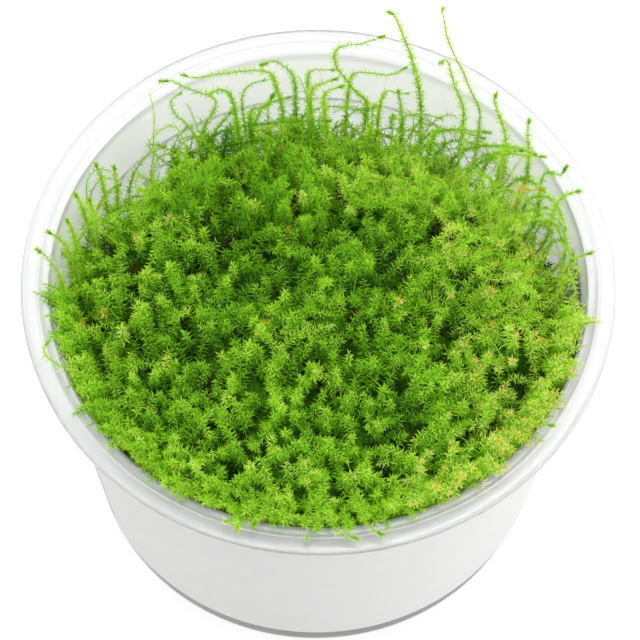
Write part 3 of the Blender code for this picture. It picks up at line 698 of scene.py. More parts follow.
def make_gel(finish):
    """The gel, a hair's breadth clear of the cup, with its edge drawn up the wall."""
    low = FLOOR + GAP
    high = FLOOR_RISE + FLOOR + GAP
    edge = inner_radius(GEL_TOP) - GAP
    flat = GEL_TOP - MENISCUS
    profile = [(0.0, flat)]
    profile += [(edge - across * MM, flat + up * MM) for across, up in MENISCUS_CURVE]
    profile += [
        (edge, GEL_TOP),
        (inner_radius(FOOT_FILLET) - GAP, CORNER_TOP),
        (RING_OUT + GEL_CORNER[0], low + GEL_CORNER[1]),
        (RING_OUT - GAP, low),
        (RING_IN + RING_SLOPE, low),
        (RING_IN - FLOOR, high),
        (0.0, high),
    ]
    gel = turned("clear_gel", profile, finish, steps=GEL_STEPS)
    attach(gel, "root")
    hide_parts("nutrient_gel")


def make_label(finish):
    """A strip of bare paper round the wall, cut square at both ends."""
    bend = RIM_HEIGHT - LEDGE_DROP
    heights = [LABEL_FOOT, bend / 2, bend - LABEL_BEND, bend, bend + LABEL_BEND, LABEL_HEAD]
    outside = [(z, outer_radius(z) + LABEL_GAP + LABEL_THICKNESS) for z in heights]
    inside = [(z, outer_radius(z) + LABEL_GAP) for z in heights[::-1]]
    count = len(outside + inside)
    points, faces = [], []
    for i in range(LABEL_STEPS + 1):
        angle = LABEL_START + (LABEL_END - LABEL_START) * i / LABEL_STEPS - math.pi / 2
        points += [(*polar(r, angle), z) for z, r in outside + inside]
    for i in range(LABEL_STEPS):
        for j in range(count):
            k = (j + 1) % count
            faces.append((i * count + j, (i + 1) * count + j, (i + 1) * count + k, i * count + k))
    for base, flip in ((0, False), (LABEL_STEPS * count, True)):
        for j in range(len(heights) - 1):
            face = (base + j, base + j + 1, base + count - 2 - j, base + count - 1 - j)
            faces.append(face[::-1] if flip else face)
    label = mesh_object("bare_label", points, faces, finish)
    label.data.set_sharp_from_angle(angle=SHARP_LABEL)
    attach(label, "root")
    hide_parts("label")


# The moss.


# The leaf's outline, as shares of its length: half width, place of the widest part and of the keel, how far
# the sides curl up, and how deep the keel and the tip hang.
LEAF_WIDTH_SHARE = 0.10
LEAF_WIDEST, LEAF_KEEL = 0.36, 0.38
LEAF_CURL, KEEL_DEPTH, TIP_DEPTH = 0.03, 0.05, 0.10


def leaf_object():
    """One narrow keeled leaf, a unit long, pointing along +Z with its face towards -Y."""
    w = LEAF_WIDTH_SHARE
    sides = [(side, LEAF_CURL, LEAF_WIDEST) for side in (-w, w)]
    points = [(0, 0, 0), *sides, (0, -KEEL_DEPTH, LEAF_KEEL), (0, -TIP_DEPTH, 1.0)]
    faces = [(0, 3, 1), (0, 2, 3), (1, 3, 4), (3, 2, 4)]
    mesh = bpy.data.meshes.new("leaf")
    mesh.from_pydata(points, [], faces)
    for name, values in (("along", [z for _, _, z in points]), ("side", [x / w for x, _, _ in points])):
        mesh.attributes.new(name, "FLOAT", "POINT").data.foreach_set("value", values)
    return linked("leaf", mesh)


# Along a shoot, as shares of it: where the leaves at the tip begin to close and to shrink, and where the
# stem begins to thin. Then how much of a leaf and of the stem is left at the very tip.
CLOSING_FROM, SHRINKING_FROM, THINNING_FROM = 0.78, 0.85, 0.6
TIP_LEAF, TIP_STEM = 0.72, 0.35
# From leaf to leaf: turn to either side, sizes, and tone to either side. Then the tone that the halves of a
# leaf are apart from its middle.
TURN_SPREAD = 0.4
LEAF_SIZES = (0.75, 1.2)
TONE_SPREAD = 0.055
SIDE_TONE = 0.012
# Shares of the painted shade at the root, which darkens the leaves low on a shoot, from root to tip; and how
# far up a leaf the stem takes its painted light, a little shade.
ROOT_TO_TIP = (-1.0, 0.25)
STEM_LIGHT = 0.3


def shoot_tree():
    """Leaves set in a spiral along every route, on a thin stem, with a palette place for each."""
    tree = bpy.data.node_groups.new("leafy_shoots", "GeometryNodeTree")
    sockets = (
        ("Routes", "NodeSocketGeometry", None),
        ("Leaf", "NodeSocketObject", None),
        ("Leaf Length", "NodeSocketFloat", LEAF_LENGTH),
        ("Leaf Spacing", "NodeSocketFloat", LEAF_SPACING),
        ("Leaf Width", "NodeSocketFloat", 1.0),
        ("Spread", "NodeSocketFloat", math.radians(76)),
        ("Tip Spread", "NodeSocketFloat", math.radians(42)),
        ("Turn", "NodeSocketFloat", GOLDEN_ANGLE),
        ("Jitter", "NodeSocketFloat", 0.35),
        ("Root Shade", "NodeSocketFloat", 0.36),
        ("Stem Radius", "NodeSocketFloat", STEM_RADIUS),
        ("Stem Step", "NodeSocketFloat", 1.4 * MM),
        ("Stem Tone", "NodeSocketFloat", -0.10),
        ("Bare Root", "NodeSocketFloat", 0.2),
        ("Seed", "NodeSocketInt", 1),
        ("Material", "NodeSocketMaterial", None),
    )
    for name, kind, value in sockets:
        socket = tree.interface.new_socket(name, in_out="INPUT", socket_type=kind)
        if value is not None:
            socket.default_value = value
    tree.interface.new_socket("Mesh", in_out="OUTPUT", socket_type="NodeSocketGeometry")
    given = add(tree, "NodeGroupInput").outputs

    def times(*factors):
        return maths(tree, "MULTIPLY", *factors)

    def random_value(low, high, offset):
        values = {2: low, 3: high, 8: maths(tree, "ADD", given["Seed"], offset)}
        return add(tree, "FunctionNodeRandomValue", values, data_type="FLOAT").outputs[1]

    def named(name):
        return add(tree, "GeometryNodeInputNamedAttribute", {"Name": name}, data_type="FLOAT").outputs[0]

    def axis_turn(axis, angle):
        values = {"Axis": axis, "Angle": angle}
        return add(tree, "FunctionNodeAxisAngleToRotation", values).outputs["Rotation"]

    def turned_by(rotation, by):
        values = {"Rotation": rotation, "Rotate By": by}
        made = add(tree, "FunctionNodeRotateRotation", values, rotation_space="LOCAL")
        return made.outputs["Rotation"]

    def palette(geometry, tone, along):
        place = add(tree, "ShaderNodeCombineXYZ", {"X": tone, "Y": along}).outputs["Vector"]
        made = add(
            tree,
            "GeometryNodeStoreNamedAttribute",
            {"Geometry": geometry, "Name": "OFBake"},
            data_type="FLOAT2",
            domain="CORNER",
        )
        tree.links.new(place, made.inputs["Value"])
        return made.outputs["Geometry"]

    curve = add(tree, "GeometryNodeMeshToCurve", {"Mesh": given["Routes"]}).outputs["Curve"]
    curve = add(tree, "GeometryNodeCurveSplineType", {"Curve": curve}, spline_type="CATMULL_ROM").outputs[0]
    values = {"Curve": curve, "Length": given["Leaf Spacing"]}
    dots = add(tree, "GeometryNodeResampleCurve", values, mode="LENGTH").outputs["Curve"]
    factor = add(tree, "GeometryNodeSplineParameter").outputs["Factor"]
    tangent = add(tree, "GeometryNodeInputTangent").outputs["Tangent"]
    index = add(tree, "GeometryNodeInputIndex").outputs["Index"]

    upright = add(tree, "FunctionNodeAlignRotationToVector", {"Vector": tangent}, axis="Z").outputs[0]
    around = maths(tree, "MULTIPLY_ADD", index, given["Turn"], random_value(-TURN_SPREAD, TURN_SPREAD, 1.0))
    near_tip = between(tree, factor, 0.0, 1.0, CLOSING_FROM, 1.0)
    closing = maths(tree, "SUBTRACT", given["Tip Spread"], given["Spread"])
    opening = maths(tree, "MULTIPLY_ADD", near_tip, closing, given["Spread"])
    jitter = random_value(times(given["Jitter"], -1.0), given["Jitter"], 2.0)
    tilt = maths(tree, "ADD", opening, jitter)
    rotation = turned_by(upright, axis_turn((0.0, 0.0, 1.0), around))
    rotation = turned_by(rotation, axis_turn((1.0, 0.0, 0.0), tilt))
    size = times(times(given["Leaf Length"], random_value(*LEAF_SIZES, 3.0)), named("size"))
    size = times(size, between(tree, factor, 1.0, TIP_LEAF, SHRINKING_FROM, 1.0))
    wide = times(size, given["Leaf Width"])
    scale = add(tree, "ShaderNodeCombineXYZ", {"X": wide, "Y": size, "Z": size}).outputs["Vector"]

    # Painted shade: leaves low on a shoot get a darker tone.
    shade = between(tree, factor, *ROOT_TO_TIP)
    depth = maths(tree, "MULTIPLY_ADD", shade, given["Root Shade"], named("tone"))
    leaf_tone = maths(tree, "ADD", depth, random_value(-TONE_SPREAD, TONE_SPREAD, 4.0))
    toned = add(
        tree,
        "GeometryNodeStoreNamedAttribute",
        {"Geometry": dots, "Name": "leaf_tone", "Value": leaf_tone},
        data_type="FLOAT",
        domain="POINT",
    ).outputs["Geometry"]
    leaf = add(tree, "GeometryNodeObjectInfo", {"Object": given["Leaf"]}).outputs["Geometry"]
    leafy = maths(tree, "GREATER_THAN", factor, given["Bare Root"])
    values = {"Points": toned, "Selection": leafy, "Instance": leaf, "Rotation": rotation, "Scale": scale}
    leaves = add(tree, "GeometryNodeInstanceOnPoints", values).outputs["Instances"]
    leaves = add(tree, "GeometryNodeRealizeInstances", {"Geometry": leaves}).outputs["Geometry"]
    sideways = maths(tree, "MULTIPLY_ADD", named("side"), SIDE_TONE, named("leaf_tone"))
    leaves = palette(leaves, sideways, named("along"))

    values = {"Curve": curve, "Length": given["Stem Step"]}
    stem = add(tree, "GeometryNodeResampleCurve", values, mode="LENGTH").outputs["Curve"]
    up_stem = add(tree, "GeometryNodeSplineParameter").outputs["Factor"]
    taper = between(tree, up_stem, 1.0, TIP_STEM, THINNING_FROM, 1.0)
    ring = add(tree, "GeometryNodeCurvePrimitiveCircle", {"Resolution": 3, "Radius": 1.0}).outputs["Curve"]
    values = {"Curve": stem, "Profile Curve": ring, "Scale": times(given["Stem Radius"], taper)}
    tube = add(tree, "GeometryNodeCurveToMesh", values).outputs["Mesh"]
    tube = palette(tube, maths(tree, "ADD", named("tone"), given["Stem Tone"]), STEM_LIGHT)

    joined = add(tree, "GeometryNodeJoinGeometry")
    tree.links.new(leaves, joined.inputs[0])
    tree.links.new(tube, joined.inputs[0])
    values = {"Geometry": joined.outputs[0], "Material": given["Material"]}
    finished = add(tree, "GeometryNodeSetMaterial", values).outputs["Geometry"]
    add(tree, "NodeGroupOutput", {"Mesh": finished})
    return tree


class Grower:
    """Grows leafy shoots along routes into plain meshes."""

    def __init__(self, finish):
        self.finish = finish
        self.leaf = leaf_object()
        self.tree = shoot_tree()
        self.inputs = {
            item.name: item.identifier for item in self.tree.interface.items_tree if item.in_out == "INPUT"
        }

    def mesh(self, name, routes, **inputs):
        """Routes are (points, tone, size), each from root to tip."""
        points, edges, tones, sizes = [], [], [], []
        for route, tone, size in routes:
            first = len(points)
            points += [tuple(p) for p in route]
            edges += [(k, k + 1) for k in range(first, len(points) - 1)]
            tones += [tone] * len(route)
            sizes += [size] * len(route)
        mesh = bpy.data.meshes.new(name + "_routes")
        mesh.from_pydata(points, edges, [])
        mesh.attributes.new("tone", "FLOAT", "POINT").data.foreach_set("value", tones)
        mesh.attributes.new("size", "FLOAT", "POINT").data.foreach_set("value", sizes)
        source = linked(name + "_routes", mesh)
        nodes = source.modifiers.new("shoots", "NODES")
        nodes.node_group = self.tree
        nodes[self.inputs["Leaf"]] = self.leaf
        nodes[self.inputs["Material"]] = self.finish
        for key, value in inputs.items():
            nodes[self.inputs[key.replace("_", " ").title()]] = value
        bpy.context.view_layer.update()
        graph = bpy.context.evaluated_depsgraph_get()
        grown = bpy.data.meshes.new_from_object(source.evaluated_get(graph))
        grown.name = name
        source.modifiers.remove(nodes)
        bpy.data.objects.remove(source)
        bpy.data.meshes.remove(mesh)
        for extra in ("tone", "size", "leaf_tone", "along", "side"):
            if extra in grown.attributes:
                grown.attributes.remove(grown.attributes[extra])
        return grown

    def piece(self, name, meshes, *nodes):
        """One piece made of the given meshes, riding with the cup, in place of the named nodes."""
        whole = meshes[0]
        if len(meshes) > 1:
            work = bmesh.new()
            for mesh in meshes:
                work.from_mesh(mesh)
            work.to_mesh(whole)
            work.free()
        whole.name = name
        made = linked(name, whole)
        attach(made, "root")
        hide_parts(*nodes)

    def put_away(self):
        bpy.data.objects.remove(self.leaf)


# How far shoots keep from the wall, how far over the rim the wall still holds them, and how far inside the
# flange's edge they stay above it.
WALL_MARGIN, OVER_RIM, EDGE_MARGIN = 0.9 * MM, 0.4 * MM, 1.6 * MM


def kept_inside(point, margin=WALL_MARGIN):
    """The point, drawn in from the cup's wall, or from the flange's edge where it is over the rim."""
    if point.z < RIM_HEIGHT + OVER_RIM:
        limit = inner_radius(min(point.z, RIM_HEIGHT - SHOULDER)) - margin
    else:
        limit = RIM_RADIUS - EDGE_MARGIN
    r = math.hypot(point.x, point.y)
    if r > limit:
        point.x *= limit / r
        point.y *= limit / r
    return point


def kept(*points):
    return [kept_inside(p) for p in points]


# Hollows are longer towards the back, and flat over the middle share of their radius.
HOLLOW_SQUEEZE, HOLLOW_FLAT = 0.8, 0.35


def hollow(x, y):
    """How deep a place lies in one of the cushion's dark hollows, from 0 to 1."""
    depth = 0.0
    for hx, hy, radius in HOLLOWS:
        away = math.hypot(x / MM - hx, (y / MM - hy) * HOLLOW_SQUEEZE) / radius
        depth = max(depth, 1.0 - rising(away, HOLLOW_FLAT, 1.0 - HOLLOW_FLAT))
    return depth


# Tufts over the mounds: share, size and slice of the broad noise and of the fine one, and the hollows' share.
TUFTS = ((1.2, 8.0 * MM, 31 * MM), (0.6, 3.6 * MM, 47 * MM))
HOLLOW_SHARE = 1.9


def clump(x, y):
    """How far tips stand over or under the cushion's general height, from -1 to 1 or so."""
    tufts = sum(share * wave(x, y, size, slice_height) for share, size, slice_height in TUFTS)
    return tufts - HOLLOW_SHARE * hollow(x, y)


# Young growth's tone in the middle, and what it gains on each side: the way there in x and y, the gain,
# where it starts and over what run. Then the size and slice of the patches, and their gain.
MIDDLE_TONE = 0.68
SIDE_TONES = (
    ((0, -1), 0.07, 20 * MM, 20 * MM),
    ((-1, 0), 0.07, 20 * MM, 18 * MM),
    # The right's larger gain is partly painted light, for the light coming through the wall there.
    ((1, 0), 0.19, 8 * MM, 26 * MM),
    ((0, 1), 0.07, 14 * MM, 14 * MM),
)
PATCH_SIZE, PATCH_SLICE, PATCH_TONE = 11 * MM, 71 * MM, 0.10


def tone_at(x, y):
    """The colour of young growth: yellower towards every side, and most at the right, partly as painted
    light.
    """
    tone = MIDDLE_TONE
    for (across, back), gain, start, run in SIDE_TONES:
        tone += gain * rising(across * x + back * y, start, run)
    return tone + PATCH_TONE * wave(x, y, PATCH_SIZE, PATCH_SLICE)


# The cushion's edge by the wall, let down at the back and at the right: how far, then where that starts and
# over what run, outwards, towards the back and towards the right.
BACK_EDGE = (2.4 * MM, (35 * MM, 7 * MM), (-4 * MM, 10 * MM))
RIGHT_EDGE = (4.2 * MM, (30 * MM, 10 * MM), (-6 * MM, 14 * MM), (0.0, 24 * MM))


def ground(x, y):
    """The cushion's top, with its edge let down a little more."""
    r = math.hypot(x, y)
    back_drop, out, backwards = BACK_EDGE
    back = rising(r, *out) * rising(y, *backwards)
    right_drop, out, backwards, sideways = RIGHT_EDGE
    right = rising(r, *out) * rising(y, *backwards) * rising(x, *sideways)
    return moss_height(x, y) - back_drop * back - right_drop * right


# Upright shoots all over the cushion, in mm: how far out they stand, how far off an even spacing and how
# long they are. Then how far their tips lean, and how many lean further and by how much.
CARPET_REACH, CARPET_SCATTER, CARPET_LENGTHS = 43.5, 1.0, (8.0, 12.0)
TIP_LEAN, FAR_LEANING, FAR_LEAN = 1.6, 0.22, (2.5, 5.0)
# How high their tips stand, in mm: in general, on a tuft, and from shoot to shoot, where few are low.
TIP_HEIGHT, TUFT_HEIGHT = 2.6, 2.1
HIGHEST, LOWER_BY, FEW_LOW = 2.0, 7.5, 1.5
# Tips that stand high are painted yellower and lighter, and tips that stand low darker, as painted light and
# shade; a few shoots are orange, pale or dead: (share so far, tone).
HIGH_PAINTED_LIGHT, TUFT_PAINTED_LIGHT = 0.035, 1.6
CARPET_ODD_TONES = ((0.0015, 0.97), (0.005, 0.92), (0.03, 0.14))
# The share that is missing in the hollows, and at the back and the right edge.
MISSING_IN_HOLLOWS, MISSING_BEHIND = 0.35, 0.45
CARPET_SIZES = (0.85, 1.15)
# A shoot's bends: how far up they are, and which share of the lean they stand back by, as the root does.
KNEE, KNEE_BACK, SHOULDER_UP, SHOULDER_BACK, ROOT_BACK = 0.5, 0.25, 0.82, 0.04, 0.2
SHOULDER_LIFT, OUTWARD = Vector((0, 0, 0.3 * MM)), 0.03


def missing_share(x, y, r):
    """The share of upright shoots that don't grow at a place."""
    at_back = y > 14 * MM and x < 2 * MM
    at_right = x > 26 * MM and y > -8 * MM and r > 34 * MM
    return hollow(x, y) * MISSING_IN_HOLLOWS + (MISSING_BEHIND if at_back or at_right else 0.0)


def carpet_routes(count, seed, wanted):
    """Feathery shoots all over the cushion, most of them upright."""
    draw = random.Random(seed)
    routes = []
    for i in range(count):
        r = CARPET_REACH * MM * math.sqrt((i + 0.5) / count)
        x, y = polar(r, i * GOLDEN_ANGLE)
        x += draw.uniform(-CARPET_SCATTER, CARPET_SCATTER) * MM
        y += draw.uniform(-CARPET_SCATTER, CARPET_SCATTER) * MM
        lean = draw.uniform(0, math.tau)
        reach = abs(draw.gauss(0.0, TIP_LEAN)) * MM
        if draw.random() < FAR_LEANING:
            reach += draw.uniform(*FAR_LEAN) * MM
        high = clump(x, y)
        lift = HIGHEST - LOWER_BY * draw.random() ** FEW_LOW
        length = draw.uniform(*CARPET_LENGTHS) * MM
        pick = draw.random()
        size = draw.uniform(*CARPET_SIZES)
        if not wanted(x, y) or draw.random() < missing_share(x, y, r):
            continue
        tip_z = ground(x, y) + (TIP_HEIGHT + TUFT_HEIGHT * high + lift) * MM
        ahead = Vector((*polar(1.0, lean), 0.0)) * reach
        tip = Vector((x, y, tip_z)) + ahead + Vector((x, y, 0.0)) * OUTWARD
        root = Vector((x, y, tip_z - length)) - ahead * ROOT_BACK
        knee = root.lerp(tip, KNEE) - ahead * KNEE_BACK
        shoulder = root.lerp(tip, SHOULDER_UP) - ahead * SHOULDER_BACK + SHOULDER_LIFT
        # Painted light and shade: high tips lighter, low tips darker.
        tone = min(tone_at(x, y) + HIGH_PAINTED_LIGHT * (TUFT_PAINTED_LIGHT * high + lift), YOUNG_TONE)
        tone = next((odd for share, odd in CARPET_ODD_TONES if pick < share), tone)
        routes.append((kept(root, knee, shoulder, tip), tone, size))
    return routes


# Shoots along the brim: the arc they stand on in degrees, then in mm how far out they root, how far they
# reach out and to the side, how far their tips stand over the rim, how long they are, and how far up and
# how much they bulge.
BRIM_ARC = (184, 354)
BRIM_ROOTS, BRIM_REACH, BRIM_SIDEWAYS = (40.0, 43.6), (0.6, 4.4), 1.5
BRIM_TIPS, BRIM_LENGTHS = (0.3, 2.4), (5.5, 8.0)
BRIM_KNEE, BRIM_BULGE = 0.6, 0.9
BRIM_TONES, BRIM_SIZES = (-0.02, 0.08), (0.75, 1.05)


def edge_routes(count, seed):
    """Young shoots pushing up and out along the brim, where the cushion is high."""
    draw = random.Random(seed)
    routes = []
    for _ in range(count):
        turn = math.radians(draw.uniform(*BRIM_ARC))
        r = draw.uniform(*BRIM_ROOTS) * MM
        out = draw.uniform(*BRIM_REACH) * MM
        x, y = polar(r, turn)
        tip_z = RIM_HEIGHT + draw.uniform(*BRIM_TIPS) * MM
        side = draw.uniform(-BRIM_SIDEWAYS, BRIM_SIDEWAYS) * MM
        tip_x, tip_y = polar(r + out, turn)
        tip = Vector((tip_x - side * math.sin(turn), tip_y + side * math.cos(turn), tip_z))
        root = Vector((x, y, tip_z - draw.uniform(*BRIM_LENGTHS) * MM))
        knee = root.lerp(tip, BRIM_KNEE) + Vector((0, 0, BRIM_BULGE * MM))
        tone = min(tone_at(x, y) + draw.uniform(*BRIM_TONES), YOUNG_TONE)
        routes.append((kept(root, knee, tip), tone, draw.uniform(*BRIM_SIZES)))
    return routes


# Shoots that lie across the cushion, in mm: how far out they start, how long they are, how far they bend in
# radians, and how high they lie in general, on a tuft and in the middle of their arch.
SPRAWL_REACH, SPRAWL_LENGTHS, SPRAWL_BEND = 40.0, (5.0, 10.0), 0.5
SPRAWL_HEIGHT, SPRAWL_TUFT, SPRAWL_ARCH = 1.2, 2.3, 2.2
SPRAWL_STEPS = 5
SPRAWL_TONES, SPRAWL_SIZES = (-0.02, 0.09), (0.85, 1.1)


def sprawl_routes(count, seed):
    """Shoots that lie across the cushion, following its mounds."""
    draw = random.Random(seed)
    routes = []
    for _ in range(count):
        r = SPRAWL_REACH * MM * math.sqrt(draw.random())
        x, y = polar(r, draw.uniform(0, math.tau))
        heading = draw.uniform(0, math.tau)
        length = draw.uniform(*SPRAWL_LENGTHS) * MM
        curl = draw.uniform(-SPRAWL_BEND, SPRAWL_BEND)
        route = []
        for k in range(SPRAWL_STEPS + 1):
            share = k / SPRAWL_STEPS
            angle = heading + curl * share
            px = x + math.cos(angle) * length * share
            py = y + math.sin(angle) * length * share
            over = SPRAWL_HEIGHT + SPRAWL_TUFT * clump(px, py) + SPRAWL_ARCH * math.sin(math.pi * share)
            route.append(Vector((px, py, moss_height(px, py) + over * MM)))
        tone = min(tone_at(x, y) + draw.uniform(*SPRAWL_TONES), YOUNG_TONE)
        routes.append((kept(*route), tone, draw.uniform(*SPRAWL_SIZES)))
    return routes


# Shoots against the wall: the arc in degrees, then in mm where they start, how long they are, how far from
# the wall they stand and how much further at the tip, and how far over the cushion they may reach.
BARE_ARC, WALL_SWING = (8, 218), 0.09
WALL_STARTS, WALL_LENGTHS = (12, 40), (7, 12)
FROM_WALL, TIP_FROM_WALL, OVER_CUSHION = 1.2, 0.4, 1.0
WALL_TONES, WALL_SIZES = (0.50, 0.78), (0.8, 1.1)


def wall_routes(count, seed):
    """Shoots that grow up against the wall where the label leaves it bare."""
    draw = random.Random(seed)
    routes = []
    for _ in range(count):
        turn = math.radians(draw.uniform(*BARE_ARC))
        low = draw.uniform(*WALL_STARTS) * MM
        length = draw.uniform(*WALL_LENGTHS) * MM
        swing = draw.uniform(-WALL_SWING, WALL_SWING)
        tone = draw.uniform(*WALL_TONES)
        size = draw.uniform(*WALL_SIZES)
        top_z = low + length
        edge = inner_radius(top_z) - FROM_WALL * MM
        if top_z > ground(*polar(edge, turn)) + OVER_CUSHION * MM:
            continue
        route = []
        for share in (0.0, 0.5, 1.0):
            z = low + length * share
            r = inner_radius(z) - (FROM_WALL + TIP_FROM_WALL * share) * MM
            route.append(Vector((*polar(r, turn + swing * share), z)))
        routes.append((route, tone, size))
    return routes


# Odd shoots, in mm: how long they are, and how high they stand in general and on a tuft. Their knee stands
# back by a share of their lean.
ODD_LENGTH, ODD_HEIGHT, ODD_TUFT = 4.5, 4.2, 2.2
ODD_KNEE_BACK = 0.2


def odd_routes(seed):
    """Shoots of an unusual colour, each where it shows."""
    draw = random.Random(seed)
    routes = []
    for x, y, tone, size in ODD_SHOOTS:
        x, y = x * MM, y * MM
        tip = Vector((x, y, moss_height(x, y) + (ODD_HEIGHT + ODD_TUFT * clump(x, y)) * MM))
        lean = Vector((draw.uniform(-1, 1), draw.uniform(-1, 1), 0.0)) * MM
        root = tip - lean - Vector((0, 0, ODD_LENGTH * MM))
        knee = root.lerp(tip, KNEE) - lean * ODD_KNEE_BACK
        routes.append((kept(root, knee, tip), tone, size))
    return routes


def strand_routes():
    """The strands, brought to the cushion's height."""
    routes = []
    for tone, points in STRANDS:
        route = []
        for x, y, over in points:
            x, y = x * MM, y * MM
            route.append(Vector((x, y, moss_height(x, y) + over * MM)))
        routes.append((kept(*route), tone, 1.0))
    return routes


# The old growth under the leafy shoots: how far it lies under them, then in mm how far it keeps from the
# wall and how far tufts, fine dents and the dents by the wall stand out of it. Sizes of both dents, and the
# radius that those by the wall are spaced on. Then its rings, steps and levels.
BED_DROP = 4.0 * MM
BED_MARGIN, BED_TUFT, BED_DENT, WALL_DENT = 0.9, 1.9, 0.5, 0.5
BED_DENT_SIZE, WALL_DENT_SIZE, WALL_DENT_RADIUS = 1.5 * MM, 4 * MM, 40 * MM
BED_MOUTH = RIM_HEIGHT - 20 * MM
BED_RINGS, BED_STEPS, BED_LEVELS = 44, 150, 16


def make_bed(finish):
    """The dense old growth under the leafy shoots, down to the gel."""
    foot = GEL_TOP + GAP
    angles = [math.tau * j / BED_STEPS for j in range(BED_STEPS)]
    rows = []
    for i in range(1, BED_RINGS + 1):
        r = (inner_radius(BED_MOUTH) - BED_MARGIN * MM) * i / BED_RINGS
        row = []
        for x, y in (polar(r, a) for a in angles):
            over = BED_TUFT * clump(x, y) + BED_DENT * wave(x, y, BED_DENT_SIZE)
            row.append((x, y, ground(x, y) - BED_DROP + over * MM))
        rows.append(row)
    edge = rows[-1]
    for k in range(1, BED_LEVELS + 1):
        row = []
        for a, (_, _, top) in zip(angles, edge):
            z = top + (foot - top) * k / BED_LEVELS
            dent = (BED_MARGIN + WALL_DENT * wave(a * WALL_DENT_RADIUS, z, WALL_DENT_SIZE)) * MM
            row.append((*polar(inner_radius(z) - dent, a), z))
        rows.append(row)
    points = [(0.0, 0.0, moss_height(0.0, 0.0) - BED_DROP)] + sum(rows, []) + [(0.0, 0.0, foot)]
    last = len(points) - 1
    base = last - BED_STEPS
    sides = [(j, (j + 1) % BED_STEPS) for j in range(BED_STEPS)]
    faces = [(0, 1 + j, 1 + k) for j, k in sides]
    for near in range(1, base, BED_STEPS):
        far = near + BED_STEPS
        faces += [(near + j, far + j, far + k, near + k) for j, k in sides]
    faces += [(base + j, last, base + k) for j, k in sides]
    bed = mesh_object("moss_bed", points, faces, finish)
    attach(bed, "root")
    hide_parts("moss_cushion")


def from_rim(points):
    """A table's route in metres, from root to tip, kept a leaf's length under the solids' top."""
    route = [Vector((x, y, z)) * MM + Vector((0, 0, RIM_HEIGHT)) for x, y, z in points]
    for place in route:
        place.z = min(place.z, cad_high[2] - LEAF_LENGTH)
    return route[::-1]


# How deep a long shoot's root goes, how far it leans in for each 1 of depth, and how far apart its points
# are.
ROOT_DEPTH, ROOT_LEAN, ROOT_STEP = 5.0 * MM, 0.35, 4.0 * MM


def rooted(route):
    """The route, led on down into the cushion, where it leans in towards the middle."""
    start = route[0]
    foot = start.copy()
    foot.z = min(foot.z, ground(foot.x, foot.y)) - ROOT_DEPTH
    lean = (start.z - foot.z) * ROOT_LEAN
    away = math.hypot(start.x, start.y)
    foot.x -= lean * start.x / away
    foot.y -= lean * start.y / away
    steps = max(1, round((start.z - foot.z) / ROOT_STEP))
    return [foot.lerp(start, k / steps) for k in range(steps)] + route


def last_part(route, length):
    """The end of a route, of about the given length."""
    end = [route[-1]]
    for place in route[-2::-1]:
        way = place - end[-1]
        if way.length >= length:
            end.append(end[-1] + way * (length / way.length))
            break
        end.append(place)
        length -= way.length
    return end[::-1]


# How a long shoot's leaves are set, and its hairs and the closed bud at its tip. Hairs and bud leaves are
# sized by the shoot's leaves, and toned by its tone.
SPRIG_HABIT = {
    "leaf_width": 1.0,
    "spread": math.radians(68),
    "jitter": 0.5,
    "root_shade": 0.08,
    "stem_radius": 0.16 * MM,
    "stem_step": 0.7 * MM,
    "stem_tone": -0.01,
    "bare_root": 0.0,
}
HAIR_HABIT = {
    "leaf_width": 0.5,
    "spread": math.radians(78),
    "jitter": 0.6,
    "root_shade": 0.1,
    "stem_radius": 0.02 * MM,
    "stem_step": 3.0 * MM,
    "bare_root": 0.1,
}
BUD_HABIT = {
    "leaf_spacing": 0.05 * MM,
    "leaf_width": 1.4,
    "spread": math.radians(40),
    "tip_spread": math.radians(24),
    "root_shade": 0.05,
    "stem_radius": 0.2 * MM,
    "stem_step": 0.5 * MM,
    "bare_root": 0.0,
}
HAIR_LENGTH, HAIR_TONE, HAIR_SEED = 1.6, 0.05, 50
BUD_LEAF, BUD_TONE, BUD_SEED = 0.8, -0.14, 90


def sprig_meshes(grower, name, route, look, seed):
    """A long shoot: small leaves all the way, a few fine hairs, and a closed bud at the tip."""
    sizes = {"leaf_length": look.leaf * MM, "leaf_spacing": look.spacing * MM}
    meshes = [grower.mesh(name, [(route, look.tone, 1.0)], seed=seed, **sizes, **SPRIG_HABIT)]
    if look.hairs:
        hairs = [(route, min(look.tone + HAIR_TONE, YOUNG_TONE), 1.0)]
        sizes = {"leaf_length": look.leaf * HAIR_LENGTH * MM, "leaf_spacing": look.hairs * MM}
        meshes.append(grower.mesh(name + "_hairs", hairs, seed=seed + HAIR_SEED, **sizes, **HAIR_HABIT))
    if look.bud:
        bud = [(last_part(route, look.bud * MM), look.tone + BUD_TONE, 1.0)]
        length = look.leaf * BUD_LEAF * MM
        meshes.append(grower.mesh(name + "_bud", bud, seed=seed + BUD_SEED, leaf_length=length, **BUD_HABIT))
    return meshes


